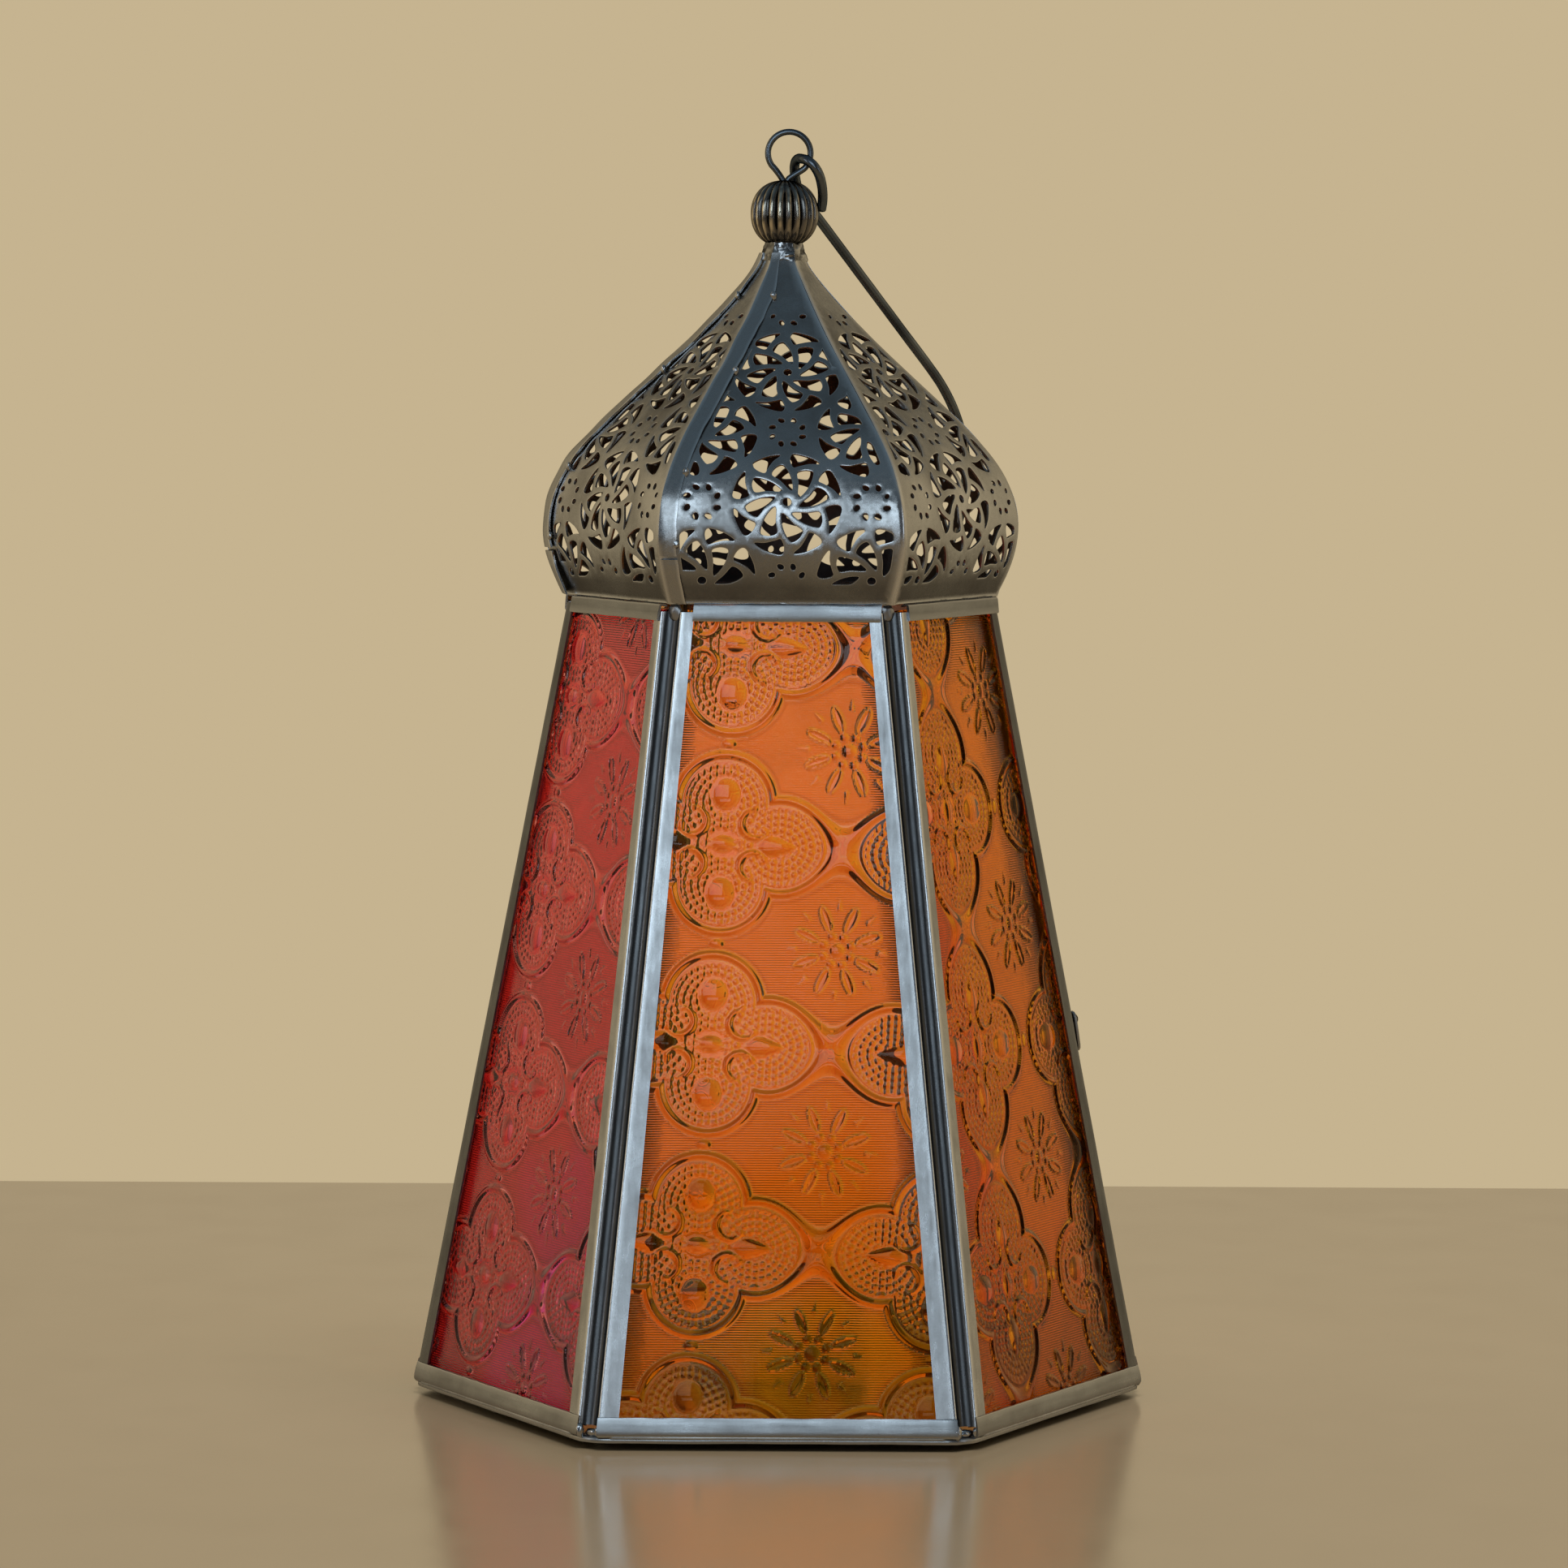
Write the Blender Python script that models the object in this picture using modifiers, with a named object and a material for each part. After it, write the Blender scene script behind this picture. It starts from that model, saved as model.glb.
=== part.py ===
"""Hexagonal candle lantern of soldered sheet metal with pressed glass panes.

Metres, +Z up, origin on the table under the middle of the base. The front pane faces -Y
and two corners of the hexagon lie on the X axis. Six grooved corner posts lean inwards
and, with channel rails, hold six glass panes. One pane sits in a hinged door at the back
right. An ogee dome of six petals carries a fluted ball, a wire eye and a hanging hook.
"""
import math

import bmesh
import bpy
from mathutils import Matrix, Vector

# ---------------------------------------------------------------- driving dimensions
GAP = 0.0003                     # between soldered or resting pieces
SHEET = 0.0006                   # thickness of the folded sheet metal
SIDES = 6

BODY_Z = 0.0044                  # underside of the bottom rails above the table
BODY_HEIGHT = 0.1897
CORNER_R_BOTTOM = 0.0895         # axis to the line where two panel planes meet
CORNER_R_TOP = 0.0529

RIDGE_FROM_CORNER = 0.00277      # along the panel, from that line to the post's ridge
FLANGE_BOTTOM = 0.0050           # width of a post's flat flange at each end
FLANGE_TOP = 0.0034
GROOVE_DEPTH = 0.0022
POST_BOTTOM = 0.0010             # post ends, above and below the body's own ends
POST_TOP = 0.0016

RAIL_BOTTOM_HEIGHT = 0.0048
RAIL_TOP_HEIGHT = 0.0041
RAIL_END = 0.0036                # rail end to the corner line
RAIL_CHANNEL = 0.0040            # depth of a rail's channel behind the panel plane
DOOR_STOP_DEPTH = 0.0049         # the same where the door closes against it
DOOR_STOP_HEIGHT = 0.0090

PANE_THICK = 0.0022
PANE_FRONT = 0.0009              # panel plane to the pane's outer face
PANE_EDGE = 0.0046               # pane edge to the corner line

DOOR_GAP = 0.0004
DOOR_FOOT_GAP = 0.0012           # lets the slanted door clear the rail as it opens
DOOR_BORDER = 0.0045             # width of the door's own frame
HINGE_OUT = 0.0014               # hinge axis in front of the panel plane
HINGE_BARREL_R = 0.0011
HINGE_PIN_R = 0.0005
HINGE_HALF = 0.0070              # half the length of a hinge
HINGE_KNUCKLE_HALF = 0.0023      # half the door's middle knuckle
HINGE_PLACES = {"lower": 0.040, "upper": 0.150}

LATCH_UP = 0.088                 # along the panel
LATCH_FROM_CORNER = 0.0044
LATCH_LONG = 0.0080
LATCH_SHORT = 0.0020
LATCH_HALF_WIDTH = 0.0016
LATCH_THICK = 0.0007
RIVET_R = 0.0008
RIVET_HEAD_R = 0.0015

BASE_THICK = 0.0007
BASE_TOP = 0.0034
BASE_APOTHEM = 0.0780
BASE_CORNER_CUT = 0.0866         # axis to the cut-off corners of the base plate
FOOT_HEIGHT = 0.0024
FOOT_RADIUS = 0.0085
FOOT_FLAT = 0.0065
FOOT_PLACE = 0.0700
FOOT_CORNERS = {"right": 0, "back_left": 120, "front_left": 240}

CUP_RADIUS = 0.0212
CUP_HEIGHT = 0.0140

# Ogee outline of the dome along a corner: radius and height above the body's bottom,
# with the slope (radius, height) of the curve there.
DOME_KNOTS = [
    ((0.0521, 0.1900), (0.0040, 0.0075)),
    ((0.0573, 0.2063), (0.0000, 0.0100)),
    ((0.0388, 0.2359), (-0.0160, 0.0148)),
    ((0.0079, 0.2670), (-0.0100, 0.0124)),
]
DOME_STEPS = 6                   # straight pieces between two knots
SEAM_WIDTH = 0.0040

NECK_Z = (0.2679, 0.2732)
BALL_CENTRE = (0.0003, 0.28155)  # x, height
BALL_RADIUS = 0.00805
FLUTES = 22
FLUTE_DEPTH = 0.0007

EYE_CENTRE = (0.00135, 0.2960)
EYE_RADIUS = 0.0051
EYE_WIRE_R = 0.00075
EYE_LEG_ANGLE = 40.5             # from straight down to where ring turns into leg
EYE_FOOT = (0.00045, 0.28995)
EYE_FOOT_HALF = 0.00085

HOOK_WIRE_R = 0.0012
CROOK_RADIUS = 0.0040
CROOK_CENTRE = (0.00465, 0.2909)
CROOK_TURN = 27.0                # of the crook's plane from the Y-Z plane
CROOK_LEAN = 13.0                # of the crook's top towards the middle of the eye
STRAND_END = (0.0085, -0.0063, 0.2828)
STRAND_MIDDLE = (0.0080, -0.0046, 0.2869)
SHANK_START = (0.0093, 0.0119, 0.2795)
SHANK_DIRECTION = (0.551, 0.425, -0.720)
SHANK_LENGTH = 0.0494
HOOK_RADIUS = 0.0560
HOOK_SWEEP = 163.0

FACE_NAMES = {30: "back_right", 90: "back", 150: "back_left",
              210: "front_left", 270: "front", 330: "front_right"}
CORNER_NAMES = {0: "right", 60: "back_right", 120: "back_left",
                180: "left", 240: "front_left", 300: "front_right"}
DOOR_FACE = 30
SEAM_CORNERS = (180, 240)

METAL = ((0.42, 0.42, 0.42), 0.38, 1.0)
DARK_METAL = ((0.20, 0.20, 0.20), 0.42, 1.0)
PANE_COLOURS = {30: (0.90, 0.45, 0.05), 90: (0.85, 0.10, 0.12), 150: (0.90, 0.35, 0.05),
                210: (0.75, 0.06, 0.25), 270: (0.90, 0.55, 0.04), 330: (0.85, 0.30, 0.05)}

# ---------------------------------------------------------------- derived values
COS30 = math.cos(math.radians(30))
TAN30 = math.tan(math.radians(30))
APOTHEM_BOTTOM = CORNER_R_BOTTOM * COS30
LEAN = math.atan((CORNER_R_BOTTOM - CORNER_R_TOP) * COS30 / BODY_HEIGHT)
PANEL_LENGTH = BODY_HEIGHT / math.cos(LEAN)


def corner_radius(height):
    """Radius of the corner line at a height above the body's bottom."""
    return CORNER_R_BOTTOM + (CORNER_R_TOP - CORNER_R_BOTTOM) * height / BODY_HEIGHT


def half_side(v, w=0.0):
    """Half the hexagon's side at panel coordinates v (up) and w (out)."""
    apothem = APOTHEM_BOTTOM - v * math.sin(LEAN) + w * math.cos(LEAN)
    return apothem * TAN30


def flange_end(v):
    """Distance along the panel from the corner line to the flange's free edge."""
    t = v / PANEL_LENGTH
    return RIDGE_FROM_CORNER + FLANGE_BOTTOM + (FLANGE_TOP - FLANGE_BOTTOM) * t


def face_frame(angle):
    """Matrix from panel coordinates (u along, v up, w out) to the world."""
    a = math.radians(angle)
    out = Vector((math.cos(a), math.sin(a), 0))
    along = Vector((-math.sin(a), math.cos(a), 0))
    up = Vector((0, 0, 1))
    v_axis = up * math.cos(LEAN) - out * math.sin(LEAN)
    w_axis = out * math.cos(LEAN) + up * math.sin(LEAN)
    frame = Matrix((along, v_axis, w_axis)).transposed().to_4x4()
    frame.translation = out * APOTHEM_BOTTOM + up * BODY_Z
    return frame


# ---------------------------------------------------------------- Blender helpers
def clear_scene():
    for obj in list(bpy.data.objects):
        bpy.data.objects.remove(obj, do_unlink=True)


def new_collection(name):
    collection = bpy.data.collections.new(name)
    bpy.context.scene.collection.children.link(collection)
    return collection


clear_scene()
PARTS = new_collection("candle_lantern")
CUTTERS = new_collection("cutters")


def material(name, spec, alpha=1.0, transmission=0.0):
    found = bpy.data.materials.get(name)
    if found:
        return found
    colour, roughness, metallic = spec
    mat = bpy.data.materials.new(name)
    mat.use_nodes = True
    shader = mat.node_tree.nodes["Principled BSDF"]
    shader.inputs["Base Color"].default_value = (*colour, 1.0)
    shader.inputs["Roughness"].default_value = roughness
    shader.inputs["Metallic"].default_value = metallic
    shader.inputs["Alpha"].default_value = alpha
    shader.inputs["Transmission Weight"].default_value = transmission
    return mat


def add_object(name, data, mat, matrix=None, smooth=False):
    obj = bpy.data.objects.new(name, data)
    PARTS.objects.link(obj)
    data.materials.append(mat)
    if matrix is not None:
        obj.matrix_world = matrix
    if smooth:
        data.shade_smooth()
        data.set_sharp_from_angle(angle=math.radians(40))
    return obj


def mesh_from(bm, name):
    bmesh.ops.recalc_face_normals(bm, faces=bm.faces)
    mesh = bpy.data.meshes.new(name)
    bm.to_mesh(mesh)
    bm.free()
    return mesh


def loft(name, rings, mat, matrix=None, smooth=False):
    """Closed solid through rings of points: unlike sections with flat ends."""
    bm = bmesh.new()
    rows = [[bm.verts.new(point) for point in ring] for ring in rings]
    for low, high in zip(rows, rows[1:]):
        for i in range(len(low)):
            j = (i + 1) % len(low)
            bm.faces.new((low[i], low[j], high[j], high[i]))
    bm.faces.new(rows[0])
    bm.faces.new(list(reversed(rows[-1])))
    return add_object(name, mesh_from(bm, name), mat, matrix, smooth)


def turned(name, profile, mat, place=(0, 0, 0), steps=32):
    """Solid of revolution: the profile runs down its outer side, (radius, height)."""
    mesh = bpy.data.meshes.new(name)
    points = [(r, 0, z) for r, z in profile]
    edges = [(i, i + 1) for i in range(len(points) - 1)]
    mesh.from_pydata(points, edges, [])
    obj = add_object(name, mesh, mat)
    obj.location = place
    screw = obj.modifiers.new("turn", "SCREW")
    screw.steps = steps
    screw.render_steps = steps
    screw.use_merge_vertices = True
    screw.merge_threshold = 0.00005
    return obj


def wire(name, points, radius, mat):
    """Round wire with capped ends along a line of points."""
    curve = bpy.data.curves.new(name, "CURVE")
    curve.dimensions = "3D"
    curve.bevel_depth = radius
    curve.bevel_resolution = 2
    curve.use_fill_caps = True
    spline = curve.splines.new("POLY")
    spline.points.add(len(points) - 1)
    for slot, point in zip(spline.points, points):
        slot.co = (*point, 1.0)
    obj = bpy.data.objects.new(name, curve)
    curve.materials.append(mat)
    PARTS.objects.link(obj)
    return obj


def boolean(obj, tool, operation):
    mod = obj.modifiers.new(operation.lower(), "BOOLEAN")
    mod.operation = operation
    mod.object = tool
    mod.solver = "EXACT"


def tool_object(name, bm, matrix):
    mesh = mesh_from(bm, name)
    obj = bpy.data.objects.new(name, mesh)
    CUTTERS.objects.link(obj)
    obj.matrix_world = matrix
    obj.hide_render = True
    obj.display_type = "WIRE"
    return obj


def box_bmesh(low, high):
    bm = bmesh.new()
    low = Vector(low)
    high = Vector(high)
    size = high - low
    middle = (low + high) / 2
    bmesh.ops.create_cube(bm, size=1.0, matrix=Matrix.Translation(middle) @ Matrix.Diagonal((*size, 1)))
    return bm


def rod_bmesh(radius, low, high, segments=16):
    """Cylinder along local Z."""
    bm = bmesh.new()
    bmesh.ops.create_cone(bm, cap_ends=True, segments=segments, radius1=radius, radius2=radius,
                          depth=high - low, matrix=Matrix.Translation((0, 0, (low + high) / 2)))
    return bm


ZINC = material("zinc_sheet", METAL)
STEEL_WIRE = material("steel_wire", DARK_METAL)
PEWTER = material("cast_pewter", DARK_METAL)


# ---------------------------------------------------------------- corner posts
def post_section(height):
    """Closed outline of a grooved post at one height, corner line on +X."""
    r = corner_radius(height)
    along = Vector((-0.5, COS30))
    inward = Vector((-COS30, -0.5))
    v = height / math.cos(LEAN)
    corner = Vector((r, 0))
    ridge = corner + along * RIDGE_FROM_CORNER
    edge = corner + along * flange_end(v)
    groove_r = (ridge.y ** 2 + GROOVE_DEPTH ** 2) / (2 * GROOVE_DEPTH)
    centre = Vector((ridge.x - GROOVE_DEPTH + groove_r, 0))

    def arc(radius, start, count):
        """Half of a groove wall from an angle off -X round to the middle."""
        return [centre + Vector((-math.cos(start * (1 - i / count)), math.sin(start * (1 - i / count)))) * radius
                for i in range(count)]

    start = math.atan2(ridge.y, centre.x - ridge.x)
    outside = [edge, ridge + along * 0.0005, ridge + Vector((-0.0001, -0.0001))]
    outside += arc(groove_r, start, 4)[1:]
    # The inner side of the flange meets the back of the groove wall in a sharp fold.
    back_r = groove_r + SHEET
    fold = ridge + along * 0.0009 + inward * SHEET
    back_start = math.atan2(fold.y, centre.x - fold.x)
    inside = [edge + inward * SHEET, fold]
    inside += [p for p in arc(back_r, back_start * 0.8, 3)]
    upper = outside + [centre + Vector((-groove_r, 0))]
    lower_back = inside + [centre + Vector((-back_r, 0))]

    def mirrored(points):
        return [Vector((p.x, -p.y)) for p in reversed(points)]

    front = upper + mirrored(upper[:-1])
    back = lower_back + mirrored(lower_back[:-1])
    return [(p.x, p.y, BODY_Z + height) for p in front + list(reversed(back))]


def add_posts():
    low = post_section(POST_BOTTOM)
    high = post_section(BODY_HEIGHT - POST_TOP)
    for angle, name in CORNER_NAMES.items():
        turn = Matrix.Rotation(math.radians(angle), 4, "Z")
        loft("post_" + name, [low, high], ZINC, turn)


# ---------------------------------------------------------------- channel rails
def channel(foot, height, out, depth, grow):
    """U section in (v, w): outer leg, web at the foot and inner leg, grow is +1 or -1."""
    stop = foot + grow * height[0]
    inner_stop = foot + grow * height[1]
    web = foot + grow * SHEET
    return [(foot, out), (stop, out), (stop, out - SHEET), (web, out - SHEET),
            (web, -depth + SHEET), (inner_stop, -depth + SHEET), (inner_stop, -depth), (foot, -depth)]


def rail(name, section, angle, end):
    """Channel running along a panel, each end cut parallel to the corner line."""
    rings = []
    for side in (-1, 1):
        rings.append([(side * (half_side(v) - end), v, w) for v, w in section])
    return loft(name, rings, ZINC, face_frame(angle))


def add_rails():
    out = GAP + SHEET
    for angle, name in FACE_NAMES.items():
        depth = RAIL_CHANNEL
        inner = RAIL_BOTTOM_HEIGHT
        inner_top = RAIL_TOP_HEIGHT
        if angle == DOOR_FACE:
            depth = DOOR_STOP_DEPTH
            inner = DOOR_STOP_HEIGHT
            inner_top = DOOR_STOP_HEIGHT
        bottom = channel(0.0, (RAIL_BOTTOM_HEIGHT, inner), out, depth, 1)
        top = channel(PANEL_LENGTH, (RAIL_TOP_HEIGHT, inner_top), out, depth, -1)
        rail("rail_bottom_" + name, bottom, angle, RAIL_END)
        rail("rail_top_" + name, top, angle, RAIL_END)


# ---------------------------------------------------------------- glass
def glass(name, angle, v_low, v_high, edge):
    """Trapezium pane; edge(v) is the distance from the pane's side to the corner line."""
    front = -PANE_FRONT
    back = -PANE_FRONT - PANE_THICK
    rings = []
    for v in (v_low, v_high):
        u = half_side(v) - edge(v)
        rings.append([(-u, v, front), (u, v, front), (u, v, back), (-u, v, back)])
    mat = material("glass_" + FACE_NAMES[angle], (PANE_COLOURS[angle], 0.1, 0.0), 0.6, 0.5)
    return loft(name, rings, mat, face_frame(angle))


def add_panes():
    inset = SHEET + GAP
    for angle, name in FACE_NAMES.items():
        if angle != DOOR_FACE:
            glass("pane_" + name, angle, inset, PANEL_LENGTH - inset, lambda v: PANE_EDGE)


# ---------------------------------------------------------------- door
DOOR_LOW = RAIL_BOTTOM_HEIGHT + DOOR_FOOT_GAP
DOOR_HIGH = PANEL_LENGTH - RAIL_TOP_HEIGHT - DOOR_GAP


def door_edge(v):
    return flange_end(v) + DOOR_GAP


def door_stile(name, side):
    """Channel along a slanted side of the door, open towards its middle."""
    rings = []
    for v in (DOOR_LOW, DOOR_HIGH):
        u = half_side(v) - door_edge(v)
        inner = u - DOOR_BORDER
        web = u - SHEET
        section = [(u, 0), (inner, 0), (inner, -SHEET), (web, -SHEET),
                   (web, -RAIL_CHANNEL + SHEET), (inner, -RAIL_CHANNEL + SHEET),
                   (inner, -RAIL_CHANNEL), (u, -RAIL_CHANNEL)]
        rings.append([(side * a, v, w) for a, w in section])
    return loft(name, rings, ZINC, face_frame(DOOR_FACE))


def door_rail(name, foot, grow):
    section = channel(foot, (DOOR_BORDER, DOOR_BORDER), 0.0, RAIL_CHANNEL, grow)
    rings = []
    for side in (-1, 1):
        rings.append([(side * (half_side(v) - door_edge(v) - DOOR_BORDER - GAP), v, w) for v, w in section])
    return loft(name, rings, ZINC, face_frame(DOOR_FACE))


def add_door():
    door_stile("door_stile_hinge_side", 1)
    door_stile("door_stile_latch_side", -1)
    door_rail("door_rail_bottom", DOOR_LOW, 1)
    door_rail("door_rail_top", DOOR_HIGH, -1)
    inset = SHEET + GAP
    glass("door_pane", DOOR_FACE, DOOR_LOW + inset, DOOR_HIGH - inset, lambda v: door_edge(v) + inset)


def hinge_point(v):
    """A point of the door's hinge axis, in panel coordinates."""
    return Vector((half_side(v) - flange_end(v) - DOOR_GAP / 2, v, HINGE_OUT))


def hinge_frame(v):
    """Z along the hinge axis, X towards the door, Y out of the panel."""
    axis = (hinge_point(PANEL_LENGTH) - hinge_point(0)).normalized()
    out = Vector((0, 0, 1))
    towards_door = out.cross(axis)
    local = Matrix((towards_door, out, axis)).transposed().to_4x4()
    local.translation = hinge_point(v)
    return face_frame(DOOR_FACE) @ local


def hinge_leaf(name, v, side, width, knuckles):
    """Flat leaf with rolled knuckles; side is +1 for the door and -1 for the post."""
    frame = hinge_frame(v)
    low_y = -HINGE_OUT + GAP
    high_y = low_y + 0.0005
    clear = HINGE_BARREL_R + GAP
    bm = box_bmesh((clear, low_y, -HINGE_HALF), (width, high_y, HINGE_HALF))
    if side < 0:
        bmesh.ops.transform(bm, matrix=Matrix.Scale(-1, 4, (1, 0, 0)), verts=bm.verts)
    leaf = add_object(name, mesh_from(bm, name), ZINC, frame)
    for i, (low, high) in enumerate(knuckles):
        span = sorted((0.0, side * (clear + 0.0002)))
        tab = box_bmesh((span[0], low_y, low), (span[1], high_y, high))
        boolean(leaf, tool_object(f"{name}_tab_{i}", tab, frame), "UNION")
        barrel = rod_bmesh(HINGE_BARREL_R, low, high)
        boolean(leaf, tool_object(f"{name}_barrel_{i}", barrel, frame), "UNION")
    bore = rod_bmesh(HINGE_PIN_R + 0.0001, -HINGE_HALF - 0.001, HINGE_HALF + 0.001)
    boolean(leaf, tool_object(name + "_bore", bore, frame), "DIFFERENCE")
    return leaf


def add_hinges():
    middle = [(-HINGE_KNUCKLE_HALF, HINGE_KNUCKLE_HALF)]
    outer = [(-HINGE_HALF, -HINGE_KNUCKLE_HALF - GAP), (HINGE_KNUCKLE_HALF + GAP, HINGE_HALF)]
    for place, v in HINGE_PLACES.items():
        hinge_leaf(f"hinge_{place}_post_leaf", v, -1, 0.0034, outer)
        hinge_leaf(f"hinge_{place}_door_leaf", v, 1, 0.0042, middle)
        frame = hinge_frame(v)
        reach = HINGE_HALF + GAP
        head = HINGE_PIN_R * 1.8
        profile = [(0, reach + 0.0006), (head, reach + 0.0006), (head, reach),
                   (HINGE_PIN_R, reach), (HINGE_PIN_R, -reach), (head, -reach),
                   (head, -reach - 0.0006), (0, -reach - 0.0006)]
        pin = turned(f"hinge_{place}_pin", profile, STEEL_WIRE, steps=12)
        pin.matrix_world = frame


# ---------------------------------------------------------------- turn button
def latch_frame():
    """Z out of the panel, X towards the door, origin on the rivet's axis."""
    v = LATCH_UP
    u = -(half_side(v) - LATCH_FROM_CORNER)
    return face_frame(DOOR_FACE) @ Matrix.Translation((u, v, 0))


def add_latch():
    frame = latch_frame()
    low = GAP + 0.0002
    steps = 6
    outline = []
    for centre_y, start in ((LATCH_SHORT - LATCH_HALF_WIDTH, 0), (LATCH_HALF_WIDTH - LATCH_LONG, 180)):
        for i in range(steps + 1):
            a = math.radians(start + 180 * i / steps)
            outline.append((LATCH_HALF_WIDTH * math.cos(a), centre_y + LATCH_HALF_WIDTH * math.sin(a)))
    rings = [[(x, y, z) for x, y in outline] for z in (low, low + LATCH_THICK)]
    button = loft("latch_button", rings, ZINC, frame)
    bore = rod_bmesh(RIVET_R + 0.0001, 0, 0.003)
    boolean(button, tool_object("latch_bore", bore, frame), "DIFFERENCE")
    head = low + LATCH_THICK + 0.0002
    profile = [(0, head + 0.0006), (RIVET_HEAD_R * 0.6, head + 0.0005), (RIVET_HEAD_R, head),
               (RIVET_R, head), (RIVET_R, GAP), (0, GAP)]
    rivet = turned("latch_rivet", profile, STEEL_WIRE, steps=16)
    rivet.matrix_world = frame


# ---------------------------------------------------------------- base, feet and cup
def add_base():
    """Hexagonal plate whose sharp corners are cut off."""
    outline = []
    slope = math.tan(math.radians(60))
    cut_half = (BASE_APOTHEM / COS30 - BASE_CORNER_CUT) * slope
    for angle in CORNER_NAMES:
        turn = Matrix.Rotation(math.radians(angle), 2)
        for y in (-cut_half, cut_half):
            outline.append(turn @ Vector((BASE_CORNER_CUT, y)))
    rings = [[(p.x, p.y, z) for p in outline] for z in (BASE_TOP - BASE_THICK, BASE_TOP)]
    loft("base_plate", rings, ZINC)
    profile = [(0, FOOT_HEIGHT), (FOOT_RADIUS - 0.0006, FOOT_HEIGHT), (FOOT_RADIUS, FOOT_HEIGHT - 0.0006),
               (FOOT_RADIUS - 0.0004, 0.0007), (FOOT_FLAT, 0.0), (0, 0.0)]
    for name, angle in FOOT_CORNERS.items():
        a = math.radians(angle)
        turned("foot_" + name, profile, ZINC, (FOOT_PLACE * math.cos(a), FOOT_PLACE * math.sin(a), 0), 24)


def add_cup():
    """Shallow candle cup with a rolled rim, soldered to the base plate."""
    floor = BASE_TOP + GAP
    rim = floor + CUP_HEIGHT
    inner = CUP_RADIUS - SHEET
    bead = 0.0009
    profile = [(0, floor + SHEET), (inner - 0.0015, floor + SHEET), (inner, floor + SHEET + 0.0015),
               (inner, rim - 0.0002), (inner + 0.0003, rim), (CUP_RADIUS + bead, rim),
               (CUP_RADIUS + bead + 0.0003, rim - 0.0007), (CUP_RADIUS + bead, rim - 0.0013),
               (CUP_RADIUS, rim - 0.0015), (CUP_RADIUS, floor + 0.0015), (CUP_RADIUS - 0.0015, floor), (0, floor)]
    turned("candle_cup", profile, ZINC, steps=36)


# ---------------------------------------------------------------- dome
def dome_outline():
    """Points (corner radius, height) up the ogee."""
    points = []
    for (a, slope_a), (b, slope_b) in zip(DOME_KNOTS, DOME_KNOTS[1:]):
        a = Vector(a)
        b = Vector(b)
        slope_a = Vector(slope_a)
        slope_b = Vector(slope_b)
        reach = (b - a).length * 0.36
        c = a + slope_a.normalized() * reach
        d = b - slope_b.normalized() * reach
        for i in range(DOME_STEPS):
            t = i / DOME_STEPS
            s = 1 - t
            points.append(a * s ** 3 + c * 3 * s * s * t + d * 3 * s * t * t + b * t ** 3)
    points.append(Vector(DOME_KNOTS[-1][0]))
    return points


def petal_rows(outline, sides, lift):
    """Rows across a petal facing +X; sides gives the two edges for a corner radius."""
    rows = []
    for i, point in enumerate(outline):
        before = outline[max(i - 1, 0)]
        after = outline[min(i + 1, len(outline) - 1)]
        tangent = Vector(((after.x - before.x) * COS30, after.y - before.y)).normalized()
        normal = Vector((tangent.y, -tangent.x))
        x = point.x * COS30 + normal.x * lift
        z = BODY_Z + point.y + normal.y * lift
        y_low, y_high = sides(point.x)
        rows.append([(x, y_low, z), (x, y_high, z)])
    return rows


def sheet(name, rows, mat, matrix, thickness):
    """Open ruled sheet given a thickness towards the inside."""
    bm = bmesh.new()
    grid = [[bm.verts.new(point) for point in row] for row in rows]
    for low, high in zip(grid, grid[1:]):
        for i in range(len(low) - 1):
            bm.faces.new((low[i], low[i + 1], high[i + 1], high[i]))
    mesh = bpy.data.meshes.new(name)
    bm.to_mesh(mesh)
    bm.free()
    obj = add_object(name, mesh, mat, matrix)
    solid = obj.modifiers.new("thickness", "SOLIDIFY")
    solid.thickness = thickness
    solid.offset = -1.0
    solid.use_even_offset = True
    return obj


def add_dome():
    outline = dome_outline()
    edge_gap = SHEET * TAN30 + GAP

    def petal_sides(radius):
        half = radius / 2 - edge_gap
        return -half, half

    def seam_sides(radius):
        low = -radius / 2 + 0.0002
        return low, low + min(SEAM_WIDTH, radius * 0.35)

    for angle, name in FACE_NAMES.items():
        turn = Matrix.Rotation(math.radians(angle), 4, "Z")
        sheet("dome_petal_" + name, petal_rows(outline, petal_sides, 0.0), ZINC, turn, SHEET)
    for corner in SEAM_CORNERS:
        turn = Matrix.Rotation(math.radians(corner + 30), 4, "Z")
        rows = petal_rows(outline, seam_sides, GAP + 0.0005)
        sheet("dome_seam_" + CORNER_NAMES[corner], rows, ZINC, turn, 0.0005)


def add_neck():
    low, high = NECK_Z
    profile = [(0, high), (0.0050, high), (0.0047, high - 0.0008), (0.0048, high - 0.0026),
               (0.0060, low + 0.0012), (0.0075, low), (0, low)]
    turned("neck_collar", profile, PEWTER, (0.0002, 0, BODY_Z), 28)


def add_ball():
    bm = bmesh.new()
    bmesh.ops.create_uvsphere(bm, u_segments=2 * FLUTES, v_segments=12, radius=BALL_RADIUS)
    for vert in bm.verts:
        flat = math.hypot(vert.co.x, vert.co.y)
        if flat < 1e-6:
            continue
        turn = math.atan2(vert.co.y, vert.co.x) / (2 * math.pi) * 2 * FLUTES
        if round(turn) % 2:
            shrink = 1 - FLUTE_DEPTH / BALL_RADIUS * flat / BALL_RADIUS
            vert.co.x *= shrink
            vert.co.y *= shrink
    x, height = BALL_CENTRE
    add_object("fluted_ball", mesh_from(bm, "fluted_ball"), PEWTER, Matrix.Translation((x, 0, BODY_Z + height)))


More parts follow.
